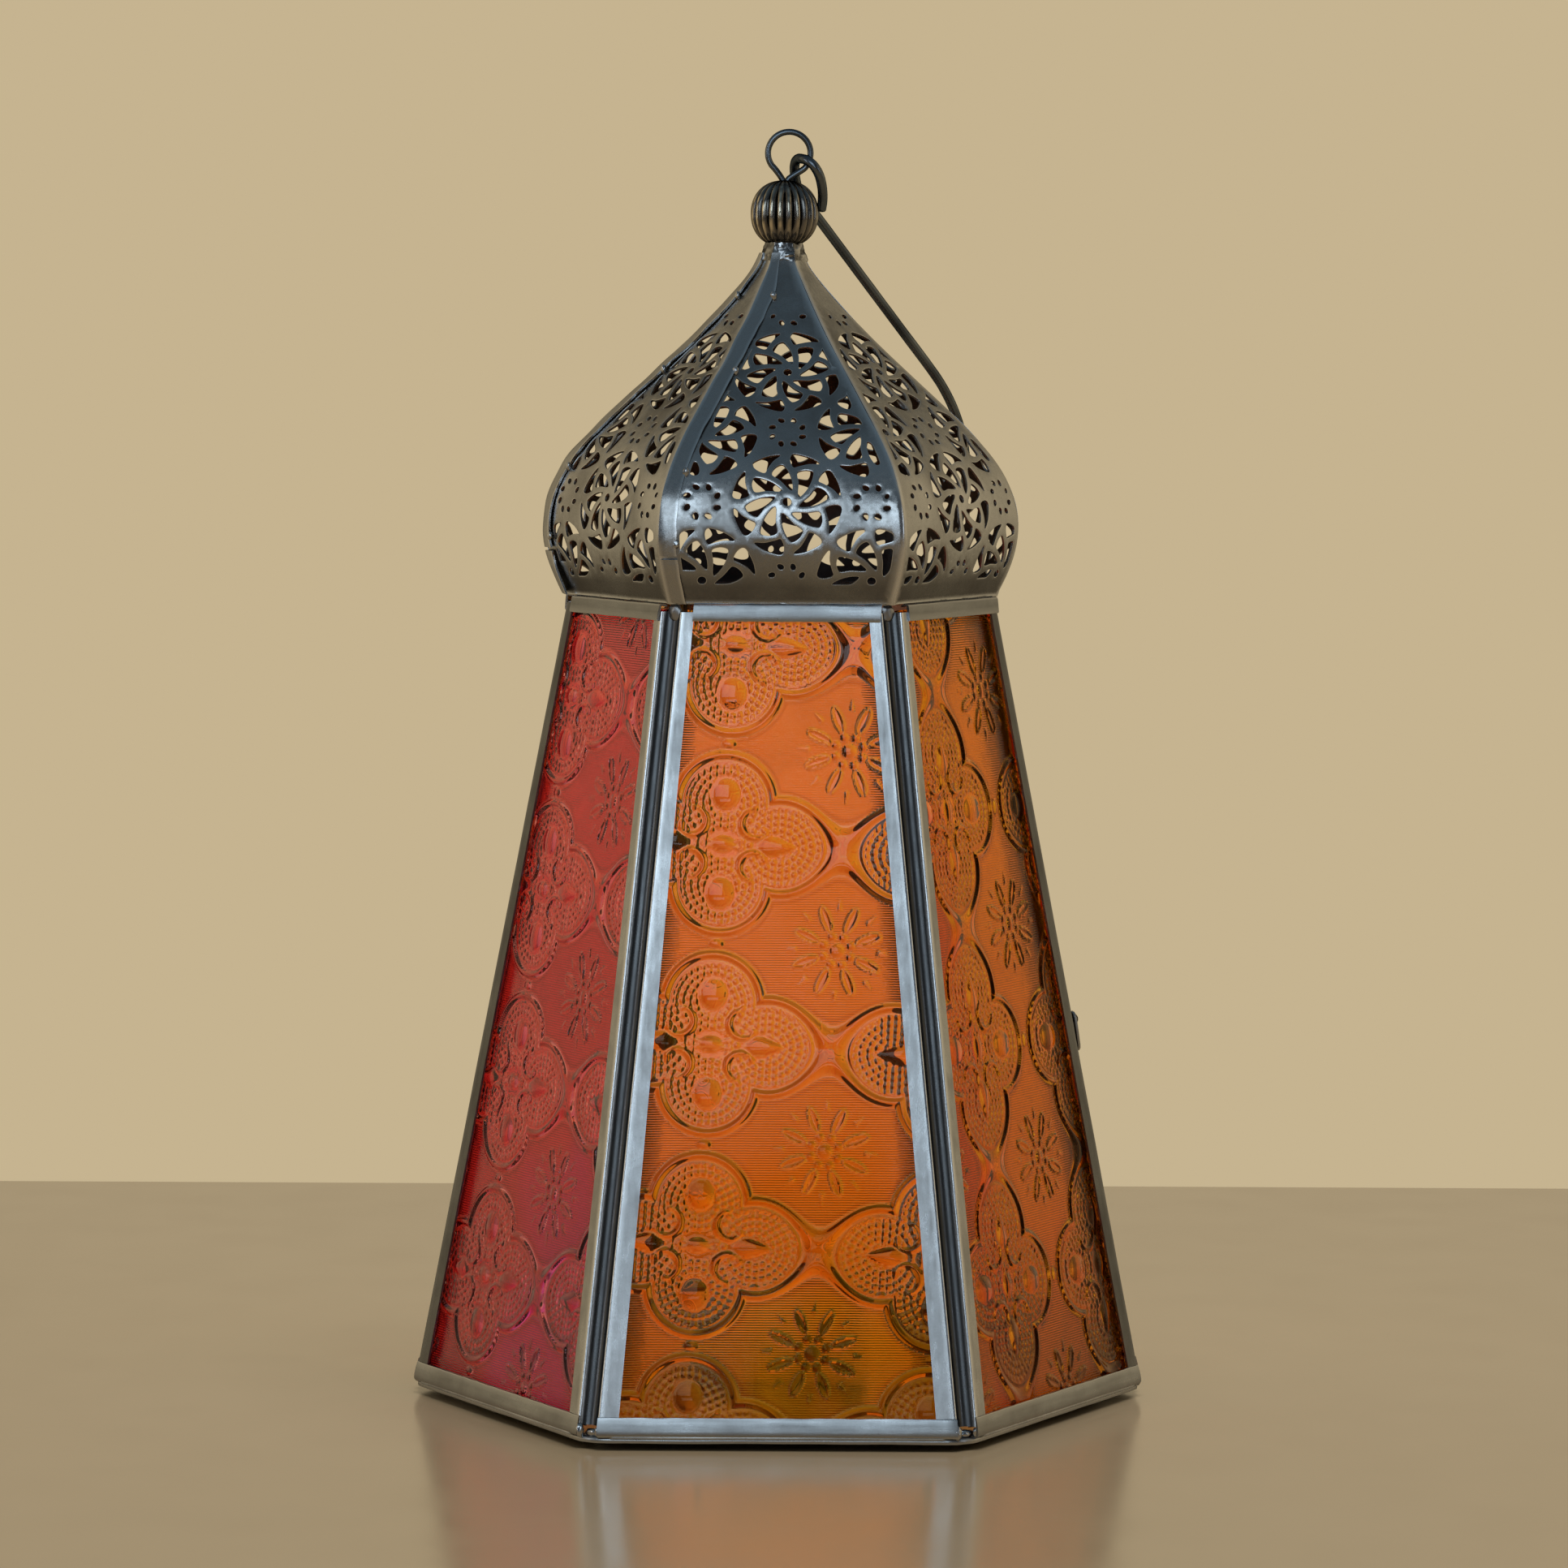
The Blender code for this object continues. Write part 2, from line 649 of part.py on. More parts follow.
# ---------------------------------------------------------------- wire eye and hook
def add_eye():
    cx, cz = EYE_CENTRE
    foot_x, foot_z = EYE_FOOT
    steps = 18
    points = [(foot_x - EYE_FOOT_HALF, 0, BODY_Z + foot_z)]
    for i in range(steps + 1):
        a = math.radians(-90 - EYE_LEG_ANGLE - (360 - 2 * EYE_LEG_ANGLE) * i / steps)
        points.append((cx + EYE_RADIUS * math.cos(a), 0, BODY_Z + cz + EYE_RADIUS * math.sin(a)))
    points.append((foot_x + EYE_FOOT_HALF, 0, BODY_Z + foot_z))
    wire("wire_eye", points, EYE_WIRE_R, STEEL_WIRE)


def hook_path():
    """Cut end, front strand, crook through the eye, shank and the wide open hook."""
    turn = math.radians(CROOK_TURN)
    forward = Vector((math.sin(turn), -math.cos(turn), 0))
    lean = math.radians(CROOK_LEAN)
    up = Vector((-math.sin(lean), 0, math.cos(lean)))
    middle = Vector((CROOK_CENTRE[0], 0, CROOK_CENTRE[1]))
    points = [Vector(STRAND_END), Vector(STRAND_MIDDLE)]
    steps = 8
    for i in range(steps + 1):
        a = math.pi * i / steps
        points.append(middle + (forward * math.cos(a) + up * math.sin(a)) * CROOK_RADIUS)
    direction = Vector(SHANK_DIRECTION).normalized()
    start = Vector(SHANK_START)
    end = start + direction * SHANK_LENGTH
    points += [start - direction * 0.0095, start, end]
    # The wide hook lies in the plane of the shank and the X axis.
    side = Vector((1, 0, 0))
    down = (direction - side * direction.x).normalized()
    normal = (down * direction.x - side * direction.dot(down)).normalized()
    centre = end + normal * HOOK_RADIUS
    steps = 26
    for i in range(1, steps + 1):
        a = math.radians(HOOK_SWEEP) * i / steps
        points.append(centre - normal * HOOK_RADIUS * math.cos(a) + direction * HOOK_RADIUS * math.sin(a))
    return [(p.x, p.y, p.z + BODY_Z) for p in points]


def add_hook():
    wire("hanging_hook", hook_path(), HOOK_WIRE_R, STEEL_WIRE)


# ---------------------------------------------------------------- the whole lantern
add_base()
add_cup()
add_posts()
add_rails()
add_panes()
add_door()
add_hinges()
add_latch()
add_dome()
add_neck()
add_ball()
add_eye()
add_hook()
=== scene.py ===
"""Looks of the six-sided candle lantern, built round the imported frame. Metres, +Z up."""

import math

import bmesh
import bpy
import numpy as np
from mathutils import Matrix, Vector, noise
from mathutils.geometry import delaunay_2d_cdt


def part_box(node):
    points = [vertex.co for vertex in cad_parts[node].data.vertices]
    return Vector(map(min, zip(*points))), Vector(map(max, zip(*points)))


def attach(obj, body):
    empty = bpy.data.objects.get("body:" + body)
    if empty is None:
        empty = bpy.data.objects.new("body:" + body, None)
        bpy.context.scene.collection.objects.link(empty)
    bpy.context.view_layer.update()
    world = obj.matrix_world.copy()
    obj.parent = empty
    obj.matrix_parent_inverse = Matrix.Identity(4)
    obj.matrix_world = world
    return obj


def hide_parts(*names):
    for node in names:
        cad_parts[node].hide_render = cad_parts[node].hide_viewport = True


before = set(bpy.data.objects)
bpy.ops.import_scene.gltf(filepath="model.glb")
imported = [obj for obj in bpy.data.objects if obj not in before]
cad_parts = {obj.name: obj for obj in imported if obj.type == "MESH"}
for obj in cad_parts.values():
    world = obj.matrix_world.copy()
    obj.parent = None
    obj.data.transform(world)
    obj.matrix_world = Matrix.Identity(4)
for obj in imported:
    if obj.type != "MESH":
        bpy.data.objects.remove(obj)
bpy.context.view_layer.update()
MM = 0.001

# ---------------------------------------------------------------- sizes of the lantern
EYE_TOP = 0.30185                # above the underside of the body
BODY_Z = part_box("wire_eye")[1].z - EYE_TOP
BODY_HEIGHT = 0.1897
CORNER_R_BOTTOM = 0.0895
CORNER_R_TOP = 0.0529
RIDGE_FROM_CORNER = 0.00277
FLANGE_BOTTOM = 0.0050
FLANGE_TOP = 0.0034
GROOVE_DEPTH = 0.0022
POST_BOTTOM = 0.0010
POST_TOP = 0.0016
SHEET = 0.0006
GAP = 0.0003
PANE_FRONT = 0.0009
PANE_THICK = 0.0022
PANE_EDGE = 0.0046
PANE_RELIEF = 0.00072            # the pressed ground lies this far behind the pane's front
RAIL_TOP_HEIGHT = 0.0041
RAIL_BOTTOM_HEIGHT = 0.0048
DOOR_GAP = 0.0004
DOOR_FOOT_GAP = 0.0012
DOME_KNOTS = [
    ((0.0521, 0.1900), (0.0040, 0.0075)),
    ((0.0573, 0.2063), (0.0000, 0.0100)),
    ((0.0388, 0.2359), (-0.0160, 0.0148)),
    ((0.0079, 0.2670), (-0.0100, 0.0124)),
    ((0.0050, 0.2724), (-0.0034, 0.0120)),
]
PATTERN_TOP = 0.0810             # arc length where the pierced pattern stops
FACES = {30: "back_right", 90: "back", 150: "back_left",
         210: "front_left", 270: "front", 330: "front_right"}
CORNERS = {0: "right", 60: "back_right", 120: "back_left",
           180: "left", 240: "front_left", 300: "front_right"}
DOOR_FACE = 30
SEAM_CORNERS = (180, 240)
SIXTH = math.radians(60)
COS30 = math.cos(math.radians(30))
TAN30 = math.tan(math.radians(30))
APOTHEM_BOTTOM = CORNER_R_BOTTOM * COS30
LEAN = math.atan((CORNER_R_BOTTOM - CORNER_R_TOP) * COS30 / BODY_HEIGHT)
PANEL_LENGTH = BODY_HEIGHT / math.cos(LEAN)


def corner_radius(height):
    return CORNER_R_BOTTOM + (CORNER_R_TOP - CORNER_R_BOTTOM) * height / BODY_HEIGHT


def half_side(v):
    """Half the width of a face at v up the panel."""
    return (APOTHEM_BOTTOM - v * math.sin(LEAN)) * TAN30


def flange_end(v):
    """Distance of a post flange's edge from the corner at v up the panel."""
    return RIDGE_FROM_CORNER + FLANGE_BOTTOM + (FLANGE_TOP - FLANGE_BOTTOM) * v / PANEL_LENGTH


def face_frame(angle):
    """Matrix from panel coordinates (u along, v up, w out) to the row frame."""
    a = math.radians(angle)
    out = Vector((math.cos(a), math.sin(a), 0))
    along = Vector((-math.sin(a), math.cos(a), 0))
    up = Vector((0, 0, 1))
    v_axis = up * math.cos(LEAN) - out * math.sin(LEAN)
    w_axis = out * math.cos(LEAN) + up * math.sin(LEAN)
    matrix = Matrix((along, v_axis, w_axis)).transposed().to_4x4()
    matrix.translation = out * APOTHEM_BOTTOM + up * BODY_Z
    return matrix


# ---------------------------------------------------------------- shader helpers
class Nodes:
    """A short way to write a node tree."""

    def __init__(self, tree):
        self.tree = tree

    def node(self, kind, **options):
        made = self.tree.nodes.new(kind)
        for key, value in options.items():
            setattr(made, key, value)
        return made

    def link(self, source, target):
        self.tree.links.new(source, target)

    def feed(self, sockets, values):
        """Gives each socket its number, its colour or the output it is linked to."""
        for socket, value in zip(sockets, values):
            if isinstance(value, (int, float)):
                socket.default_value = value
            elif isinstance(value, tuple):
                socket.default_value = (*value, 1.0)
            else:
                self.link(value, socket)

    def math(self, operation, *values):
        made = self.node("ShaderNodeMath", operation=operation)
        self.feed(made.inputs, values)
        return made.outputs[0]

    def mix(self, factor, a, b):
        made = self.node("ShaderNodeMix", data_type="RGBA")
        self.feed((made.inputs["Factor"], made.inputs[6], made.inputs[7]), (factor, a, b))
        return made.outputs[2]


class Shader(Nodes):
    """A material's nodes, laid out in object coordinates."""

    def __init__(self, name):
        self.mat = bpy.data.materials.new(name)
        self.mat.use_nodes = True
        super().__init__(self.mat.node_tree)
        self.bsdf = self.tree.nodes["Principled BSDF"]
        self.output = self.tree.nodes["Material Output"]
        self.place = self.node("ShaderNodeTexCoord").outputs["Object"]

    def noise(self, scale, detail=4.0, rough=0.55, stretch=None, distortion=0.0):
        made = self.node("ShaderNodeTexNoise")
        sockets = [made.inputs[key] for key in ("Scale", "Detail", "Roughness", "Distortion")]
        self.feed(sockets, (scale, detail, rough, distortion))
        where = self.place
        if stretch:
            mapping = self.node("ShaderNodeMapping")
            mapping.inputs["Scale"].default_value = stretch
            self.link(where, mapping.inputs["Vector"])
            where = mapping.outputs["Vector"]
        self.link(where, made.inputs["Vector"])
        return made.outputs["Fac"]

    def cells(self, scale):
        made = self.node("ShaderNodeTexVoronoi")
        made.inputs["Scale"].default_value = scale
        self.link(self.place, made.inputs["Vector"])
        return made.outputs["Distance"]

    def attribute(self, name):
        return self.node("ShaderNodeAttribute", attribute_name=name).outputs["Fac"]

    def remap(self, value, low, high, to_low=0.0, to_high=1.0):
        made = self.node("ShaderNodeMapRange", clamp=True)
        self.feed(made.inputs, (value, low, high, to_low, to_high))
        return made.outputs["Result"]

    def bump(self, height, strength, distance, under=None):
        made = self.node("ShaderNodeBump")
        made.inputs["Strength"].default_value = strength
        made.inputs["Distance"].default_value = distance
        self.link(height, made.inputs["Height"])
        if under is not None:
            self.link(under, made.inputs["Normal"])
        return made.outputs["Normal"]


# Near black for grime and painted shade in grooves, folds, insides and undersides.
GRIME_AND_SHADE = (0.035, 0.036, 0.040)


def metal(name, clean, dark, rough, worn=(0.62, 0.63, 0.65), grain=(1, 1, 1), lumps=0.0,
          graze=0.6, metallic=1.0):
    """Aged sheet metal: patina clouds, brushed grain, pits, worn bright edges with painted sheen,
    and grime with painted shade.
    """
    s = Shader(name)
    cloud = s.noise(55.0, 5.0, 0.6)
    streak = s.noise(900.0, 3.0, 0.6, stretch=grain)
    speck = s.noise(2600.0, 2.0, 0.5)
    colour = s.mix(s.remap(cloud, 0.38, 0.72), clean, dark)
    colour = s.mix(s.remap(streak, 0.35, 0.75, 0.0, 0.30), colour, dark)
    spots = s.remap(s.cells(420.0), 0.0, 0.16, 0.5, 0.0)
    colour = s.mix(spots, colour, dark)
    colour = s.mix(s.remap(speck, 0.35, 0.65, 0.0, 0.22), colour, dark)
    # Grime and painted shade pull the colour to near black; wear and painted sheen pull it to the
    # worn colour.
    colour = s.mix(s.math("MULTIPLY", s.attribute("grime_and_shade"), 0.93), colour, GRIME_AND_SHADE)
    wear_and_sheen = s.math("MULTIPLY", s.attribute("wear_and_sheen"), s.remap(cloud, 0.30, 0.62, 0.45, 1.0))
    colour = s.mix(wear_and_sheen, colour, worn)
    s.link(colour, s.bsdf.inputs["Base Color"])
    s.bsdf.inputs["Metallic"].default_value = metallic
    s.bsdf.inputs["Specular Tint"].default_value = (graze, graze, graze, 1.0)
    roughness = s.remap(s.math("ADD", cloud, streak), 0.7, 1.35, rough - 0.07, rough + 0.12)
    roughness = s.math("SUBTRACT", roughness, s.math("MULTIPLY", wear_and_sheen, 0.10))
    s.link(roughness, s.bsdf.inputs["Roughness"])
    normal = s.bump(streak, 0.16, 0.00006)
    normal = s.bump(speck, 0.20, 0.00004, normal)
    normal = s.bump(s.noise(60.0, 2.0), 0.35, 0.0004 + lumps, normal)
    s.link(normal, s.bsdf.inputs["Normal"])
    return s.mat


# The pale worn colours also serve as painted highlights where the wear mask carries sheen.
ZINC = metal("zinc_sheet", (0.53, 0.545, 0.56), (0.31, 0.31, 0.315), 0.29, worn=(0.88, 0.90, 0.93),
             grain=(1, 1, 0.06))
ZINC_BAND = metal("zinc_band", (0.40, 0.415, 0.43), (0.25, 0.25, 0.25), 0.30, grain=(0.06, 0.06, 1))
ZINC_WORN = metal("zinc_worn_edge", (0.60, 0.61, 0.63), (0.36, 0.36, 0.36), 0.24)
ZINC_CUT = metal("zinc_cut_edge", (0.20, 0.19, 0.18), (0.10, 0.08, 0.07), 0.40)
DOME = metal("dome_sheet", (0.40, 0.41, 0.42), (0.21, 0.205, 0.20), 0.27, worn=(0.85, 0.86, 0.88),
             graze=0.45)
DOME_INSIDE = metal("dome_inside", (0.10, 0.075, 0.065), (0.04, 0.03, 0.028), 0.55)
WIRE = metal("steel_wire", (0.12, 0.145, 0.175), (0.05, 0.058, 0.068), 0.25,
             worn=(0.34, 0.38, 0.42), graze=0.10)
BALL = metal("cast_ball", (0.34, 0.33, 0.32), (0.13, 0.12, 0.11), 0.17, worn=(1.0, 0.90, 0.70),
             graze=0.08)
NECK = metal("neck_solder_metal", (0.18, 0.185, 0.19), (0.12, 0.12, 0.12), 0.22,
             worn=(0.80, 0.81, 0.83), graze=0.2)
SOLDER = metal("solder", (0.50, 0.51, 0.52), (0.24, 0.24, 0.24), 0.20, lumps=0.0008)
BASE_INSIDE = metal("base_plate_zinc", (0.66, 0.66, 0.64), (0.30, 0.29, 0.27), 0.40,
                    grain=(0.06, 1, 1), metallic=0.75)


def pane_glass(name, spec):
    """Pressed coloured glass: tint clouds, painted light and painted shade on the relief's flanks,
    crests and lines, a painted tint of what shows through, faint ribs in the star fields.
    """
    s = Shader("glass_" + name)
    cloud = s.noise(26.0, 3.0, 0.5, distortion=0.6)
    split = s.node("ShaderNodeSeparateXYZ")
    s.link(s.place, split.inputs[0])
    # Towards the bottom the tint turns to the second colour, painted in for the lit base plate that
    # shows through there, made uneven by the cloud.
    lower = s.math("ADD", s.remap(split.outputs["Z"], 0.02, 0.16, 0.9, 0.0),
                   s.remap(cloud, 0.3, 0.7, -0.3, 0.3))
    tint = s.mix(lower, spec["colour"], spec["second"])
    # A patch of another tint, painted in for colour that shows through the pane.
    tint = s.mix(s.attribute("through_tint"), tint, spec["through_tint"])
    rim = s.attribute("rim")
    # Painted shade on crests, gutters and flanks facing down and left; painted highlight lines
    # along rib edges and bead walls, dark painted lines on the right pane; painted light on flanks
    # facing up and right.
    tint = s.mix(s.math("MULTIPLY", s.attribute("crest_shade"), 0.75), tint, spec["dark"])
    tint = s.mix(s.math("MULTIPLY", s.attribute("dim"), 0.9), tint, spec["dark"])
    tint = s.mix(s.math("MULTIPLY", rim, 0.9), tint, spec["edge"])
    tint = s.mix(s.math("MULTIPLY", s.attribute("lit"), 0.9), tint, spec["light"])
    s.link(tint, s.bsdf.inputs["Base Color"])
    s.link(s.remap(rim, 0.0, 1.0, 1.0, 0.86), s.bsdf.inputs["Transmission Weight"])
    # The reflection's tint changes towards the bottom too, a painted dimming of the reflection
    # there.
    if "gloss" in spec:
        s.link(s.mix(lower, spec["gloss"], spec["low_gloss"]), s.bsdf.inputs["Specular Tint"])
    s.bsdf.inputs["IOR"].default_value = 1.48
    s.link(s.remap(s.noise(240.0), 0.35, 0.7, 0.0, 0.025), s.bsdf.inputs["Roughness"])
    ribs = s.node("ShaderNodeTexWave", bands_direction="Z")
    ribs.inputs["Scale"].default_value = 560.0
    ribs.inputs["Distortion"].default_value = 0.6
    s.link(s.place, ribs.inputs["Vector"])
    field = s.math("MULTIPLY", ribs.outputs["Fac"], s.attribute("field"))
    normal = s.bump(field, 0.75, 0.00012)
    normal = s.bump(s.noise(300.0, 2.0), 0.12, 0.0001, normal)
    s.link(normal, s.bsdf.inputs["Normal"])
    # Lamps reach the inside through the tinted glass.
    clear = s.node("ShaderNodeBsdfTransparent")
    s.link(s.mix(s.remap(cloud, 0.0, 1.0, 0.4, 0.5), (1.0, 1.0, 1.0), tint), clear.inputs["Color"])
    switch = s.node("ShaderNodeMixShader")
    path = s.node("ShaderNodeLightPath")
    s.link(path.outputs["Is Shadow Ray"], switch.inputs[0])
    s.link(s.bsdf.outputs[0], switch.inputs[1])
    s.link(clear.outputs[0], switch.inputs[2])
    s.link(switch.outputs[0], s.output.inputs["Surface"])
    return s.mat


# ---------------------------------------------------------------- mesh helpers
def new_piece(name, verts, faces, mats, replaces=(), attributes=None, sharp=40.0,
              indices=None, body="lantern"):
    """A smooth-shaded mesh object that rides on a body and stands for CAD nodes."""
    mesh = bpy.data.meshes.new(name)
    mesh.from_pydata([tuple(v) for v in verts], [], faces)
    for mat in mats:
        mesh.materials.append(mat)
    for key, values in (attributes or {}).items():
        layer = mesh.attributes.new(key, "FLOAT", "POINT")
        layer.data.foreach_set("value", np.asarray(values, np.float32))
    if indices is not None:
        mesh.polygons.foreach_set("material_index", np.asarray(indices, np.int32))
    mesh.shade_smooth()
    mesh.set_sharp_from_angle(angle=math.radians(sharp))
    mesh.update()
    obj = bpy.data.objects.new(name, mesh)
    bpy.context.scene.collection.objects.link(obj)
    if replaces:
        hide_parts(*replaces)
    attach(obj, body)
    return obj


def apply_modifiers(obj):
    """Leaves the piece as the mesh that its modifiers make."""
    graph = bpy.context.evaluated_depsgraph_get()
    mesh = bpy.data.meshes.new_from_object(obj.evaluated_get(graph))
    obj.modifiers.clear()
    obj.data = mesh


def grid_faces(rows, columns, closed=False, ring=False):
    """Quads between rows of points; closed joins each row's ends, ring the first and last rows."""
    faces = []
    for r in range(rows if ring else rows - 1):
        a, b = r * columns, (r + 1) % rows * columns
        for c in range(columns if closed else columns - 1):
            d = (c + 1) % columns
            faces.append((a + c, a + d, b + d, b + c))
    return faces


def loft_faces(rows, columns, flip=False):
    """Skin over closed rows of points, with a cap on each end."""
    last = (rows - 1) * columns
    faces = grid_faces(rows, columns, closed=True)
    faces += [tuple(reversed(range(columns))), tuple(range(last, last + columns))]
    return [face[::-1] for face in faces] if flip else faces


def face_outwards(obj, join=0.0):
    """Joins points that are closer than a distance and turns all faces outwards."""
    bm = bmesh.new()
    bm.from_mesh(obj.data)
    if join:
        bmesh.ops.remove_doubles(bm, verts=bm.verts, dist=join)
    bmesh.ops.recalc_face_normals(bm, faces=bm.faces)
    bm.to_mesh(obj.data)
    bm.free()


def between(p0, p1, p2, p3, t):
    """Point of the smooth line through four points, on its way from the second to the third."""
    return 0.5 * (2 * p1 + (p2 - p0) * t + (2 * p0 - 5 * p1 + 4 * p2 - p3) * t * t
                  + (3 * p1 - p0 - 3 * p2 + p3) * t ** 3)


def rotation(degrees):
    """Turn about Z for rows of points, by points @ rotation(degrees)."""
    return np.array(Matrix.Rotation(math.radians(degrees), 3, "Z")).T


def wobble(x, y, z):
    """Smooth noise at a point, from about -1 to 1."""
    return noise.noise(Vector((x, y, z)))


def hexagon_at(angle):
    """Angle from the nearest corner, and the hexagon's reach there as a part of its corner's."""
    near = (angle + SIXTH / 2) % SIXTH - SIXTH / 2
    return near, COS30 / math.cos(SIXTH / 2 - abs(near))


def softened(node, mat, body="lantern", width=0.00018):
    """The node's own shape with its folds and cut edges rounded and rubbed bright."""
    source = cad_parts[node]
    bm = bmesh.new()
    bm.from_mesh(source.data)
    bmesh.ops.remove_doubles(bm, verts=bm.verts, dist=0.000005)
    bmesh.ops.dissolve_limit(bm, angle_limit=math.radians(1.0), verts=bm.verts, edges=bm.edges)
    mesh = bpy.data.meshes.new("soft_" + node)
    bm.to_mesh(mesh)
    bm.free()
    mesh.materials.clear()
    mesh.materials.append(mat)
    mesh.materials.append(ZINC_WORN)
    obj = bpy.data.objects.new("soft_" + node, mesh)
    bpy.context.scene.collection.objects.link(obj)
    bevel = obj.modifiers.new("round", "BEVEL")
    bevel.width = width
    bevel.segments = 2
    bevel.limit_method = "ANGLE"
    bevel.angle_limit = math.radians(35)
    bevel.material = 1
    bevel.harden_normals = False
    apply_modifiers(obj)
    obj.data.shade_smooth()
    obj.data.set_sharp_from_angle(angle=math.radians(50))
    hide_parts(node)
    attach(obj, body)


WIRE_STEPS = 4                   # steps along a wire between two of its points
WIRE_END = 0.45                  # height of a wire's domed end as a part of its radius


def tube(name, points, radius, node, body="lantern", sides=14):
    """Round wire on a smooth line through the points, with domed ends."""
    points = [Vector(p) for p in points]
    last = len(points) - 1
    line = []
    for i in range(last):
        four = [points[min(max(i + k, 0), last)] for k in (-1, 0, 1, 2)]
        line += [between(*four, k / WIRE_STEPS) for k in range(WIRE_STEPS)]
    line.append(points[-1])
    ends = []
    for tip, before in (line[:2], line[:-3:-1]):
        out = (tip - before).normalized() * radius * WIRE_END
        ends.append([(tip + out * math.sin(a), radius * math.cos(a)) for a in (0.5, 1.0, 1.45)])
    rings = ends[0][::-1] + [(p, radius) for p in line] + ends[1]
    last = len(rings) - 1
    verts = []
    normal = None
    for i, (p, r) in enumerate(rings):
        tangent = (rings[min(i + 1, last)][0] - rings[max(i - 1, 0)][0]).normalized()
        if normal is None:
            normal = tangent.orthogonal().normalized()
        normal = (normal - tangent * normal.dot(tangent)).normalized()
        side = tangent.cross(normal)
        reach = r * (0.985 + 0.02 * noise.noise(p * 300))
        for k in range(sides):
            a = 2 * math.pi * k / sides
            verts.append(p + (normal * math.cos(a) + side * math.sin(a)) * reach)
    wear_and_sheen = [0.25 + 0.35 * noise.noise(v * 160) for v in verts]
    new_piece(name, verts, loft_faces(len(rings), sides), [WIRE], (node,), {"wear_and_sheen": wear_and_sheen}, sharp=60,
              body=body)


def blob(name, place, size, turn, seed, mat=SOLDER):
    """A lump of solder: a flattened drop with an uneven skin."""
    bm = bmesh.new()
    bmesh.ops.create_icosphere(bm, subdivisions=3, radius=1.0)
    verts = []
    for v in bm.verts:
        swell = 1 + 0.22 * noise.noise(v.co * 1.7 + Vector((seed, seed * 2, 0)))
        swell += 0.08 * noise.noise(v.co * 5.0 + Vector((0, seed, seed)))
        verts.append(Vector(place) + turn @ (v.co * Vector(size) * swell))
    faces = [tuple(v.index for v in f.verts) for f in bm.faces]
    bm.free()
    new_piece(name, verts, faces, [mat], (), {"wear_and_sheen": [0.6] * len(verts)})


# ---------------------------------------------------------------- dome: surface and pattern
def ogee(steps=40):
    """Finely stepped outline of the dome: corner radius, height, arc length up the middle."""
    points = []
    for (a, slope_a), (b, slope_b) in zip(DOME_KNOTS, DOME_KNOTS[1:]):
        a, b = Vector(a), Vector(b)
        reach = (b - a).length * 0.36
        c = a + Vector(slope_a).normalized() * reach
        d = b - Vector(slope_b).normalized() * reach
        for i in range(steps):
            t = i / steps
            s = 1 - t
            points.append(a * s ** 3 + c * 3 * s * s * t + d * 3 * s * t * t + b * t ** 3)
    points.append(Vector(DOME_KNOTS[-1][0]))
    table = np.array([(p.x, p.y) for p in points])
    run = np.hypot(np.diff(table[:, 0]) * COS30, np.diff(table[:, 1]))
    return table[:, 0], table[:, 1], np.concatenate([[0], np.cumsum(run)])


OGEE_R, OGEE_Z, OGEE_S = ogee()
DOME_ARC = float(OGEE_S[-1])
CREASE = 0.0022                  # radius of the rolled crease between petals
SLOPE_STEP = 0.0004              # arc length over which the outline's slope is measured


def dome_half(s):
    """Half the petal's width at arc length s, up to the corner line."""
    return np.interp(s, OGEE_S, OGEE_R) / 2


def dome_points(u, s, lift=0.0):
    """Points on a petal facing +X for across u and arc length s, both arrays."""
    u = np.asarray(u, float)
    s = np.asarray(s, float)
    radius = np.interp(s, OGEE_S, OGEE_R)
    before, after = s - SLOPE_STEP, s + SLOPE_STEP
    dx = (np.interp(after, OGEE_S, OGEE_R) - np.interp(before, OGEE_S, OGEE_R)) * COS30
    dz = np.interp(after, OGEE_S, OGEE_Z) - np.interp(before, OGEE_S, OGEE_Z)
    length = np.hypot(dx, dz)
    nx, nz = dz / length, -dx / length
    half = radius / 2
    crease = np.minimum(CREASE, radius * 0.25)
    run = crease * TAN30
    over = np.clip((np.abs(u) - (half - run)) / run, 0, 1)
    angle = over * math.radians(30)
    inward = crease * (1 - np.cos(angle))
    across = np.where(over > 0, np.sign(u) * (half - run + crease * np.sin(angle)), u)
    x = radius * COS30 - inward * nx + nx * np.cos(angle) * lift
    y = across + nx * np.sin(angle) * np.sign(u) * lift
    z = BODY_Z + np.interp(s, OGEE_S, OGEE_Z) + nz * lift
    return np.stack([x, y, z], -1)


def dome_point(u, s, lift):
    return dome_points([u], [s], lift)[0]


def smooth_loop(points, count):
    """Closed smooth line through a few corner points, with count steps between them."""
    n = len(points)
    loop = []
    for i in range(n):
        four = [np.array(points[(i + k) % n], float) for k in (-1, 0, 1, 2)]
        loop += [between(*four, k / count) for k in range(count)]
    return np.array(loop)


def polar(points):
    """Corner points in millimetres from (radius, degrees)."""
    return [(r * math.cos(math.radians(a)), r * math.sin(math.radians(a))) for r, a in points]


PITCH_U = 0.0198
PITCH_S = 0.0189
PIN_AT = (0.0012, 0.0250)        # a pinwheel's centre on each petal
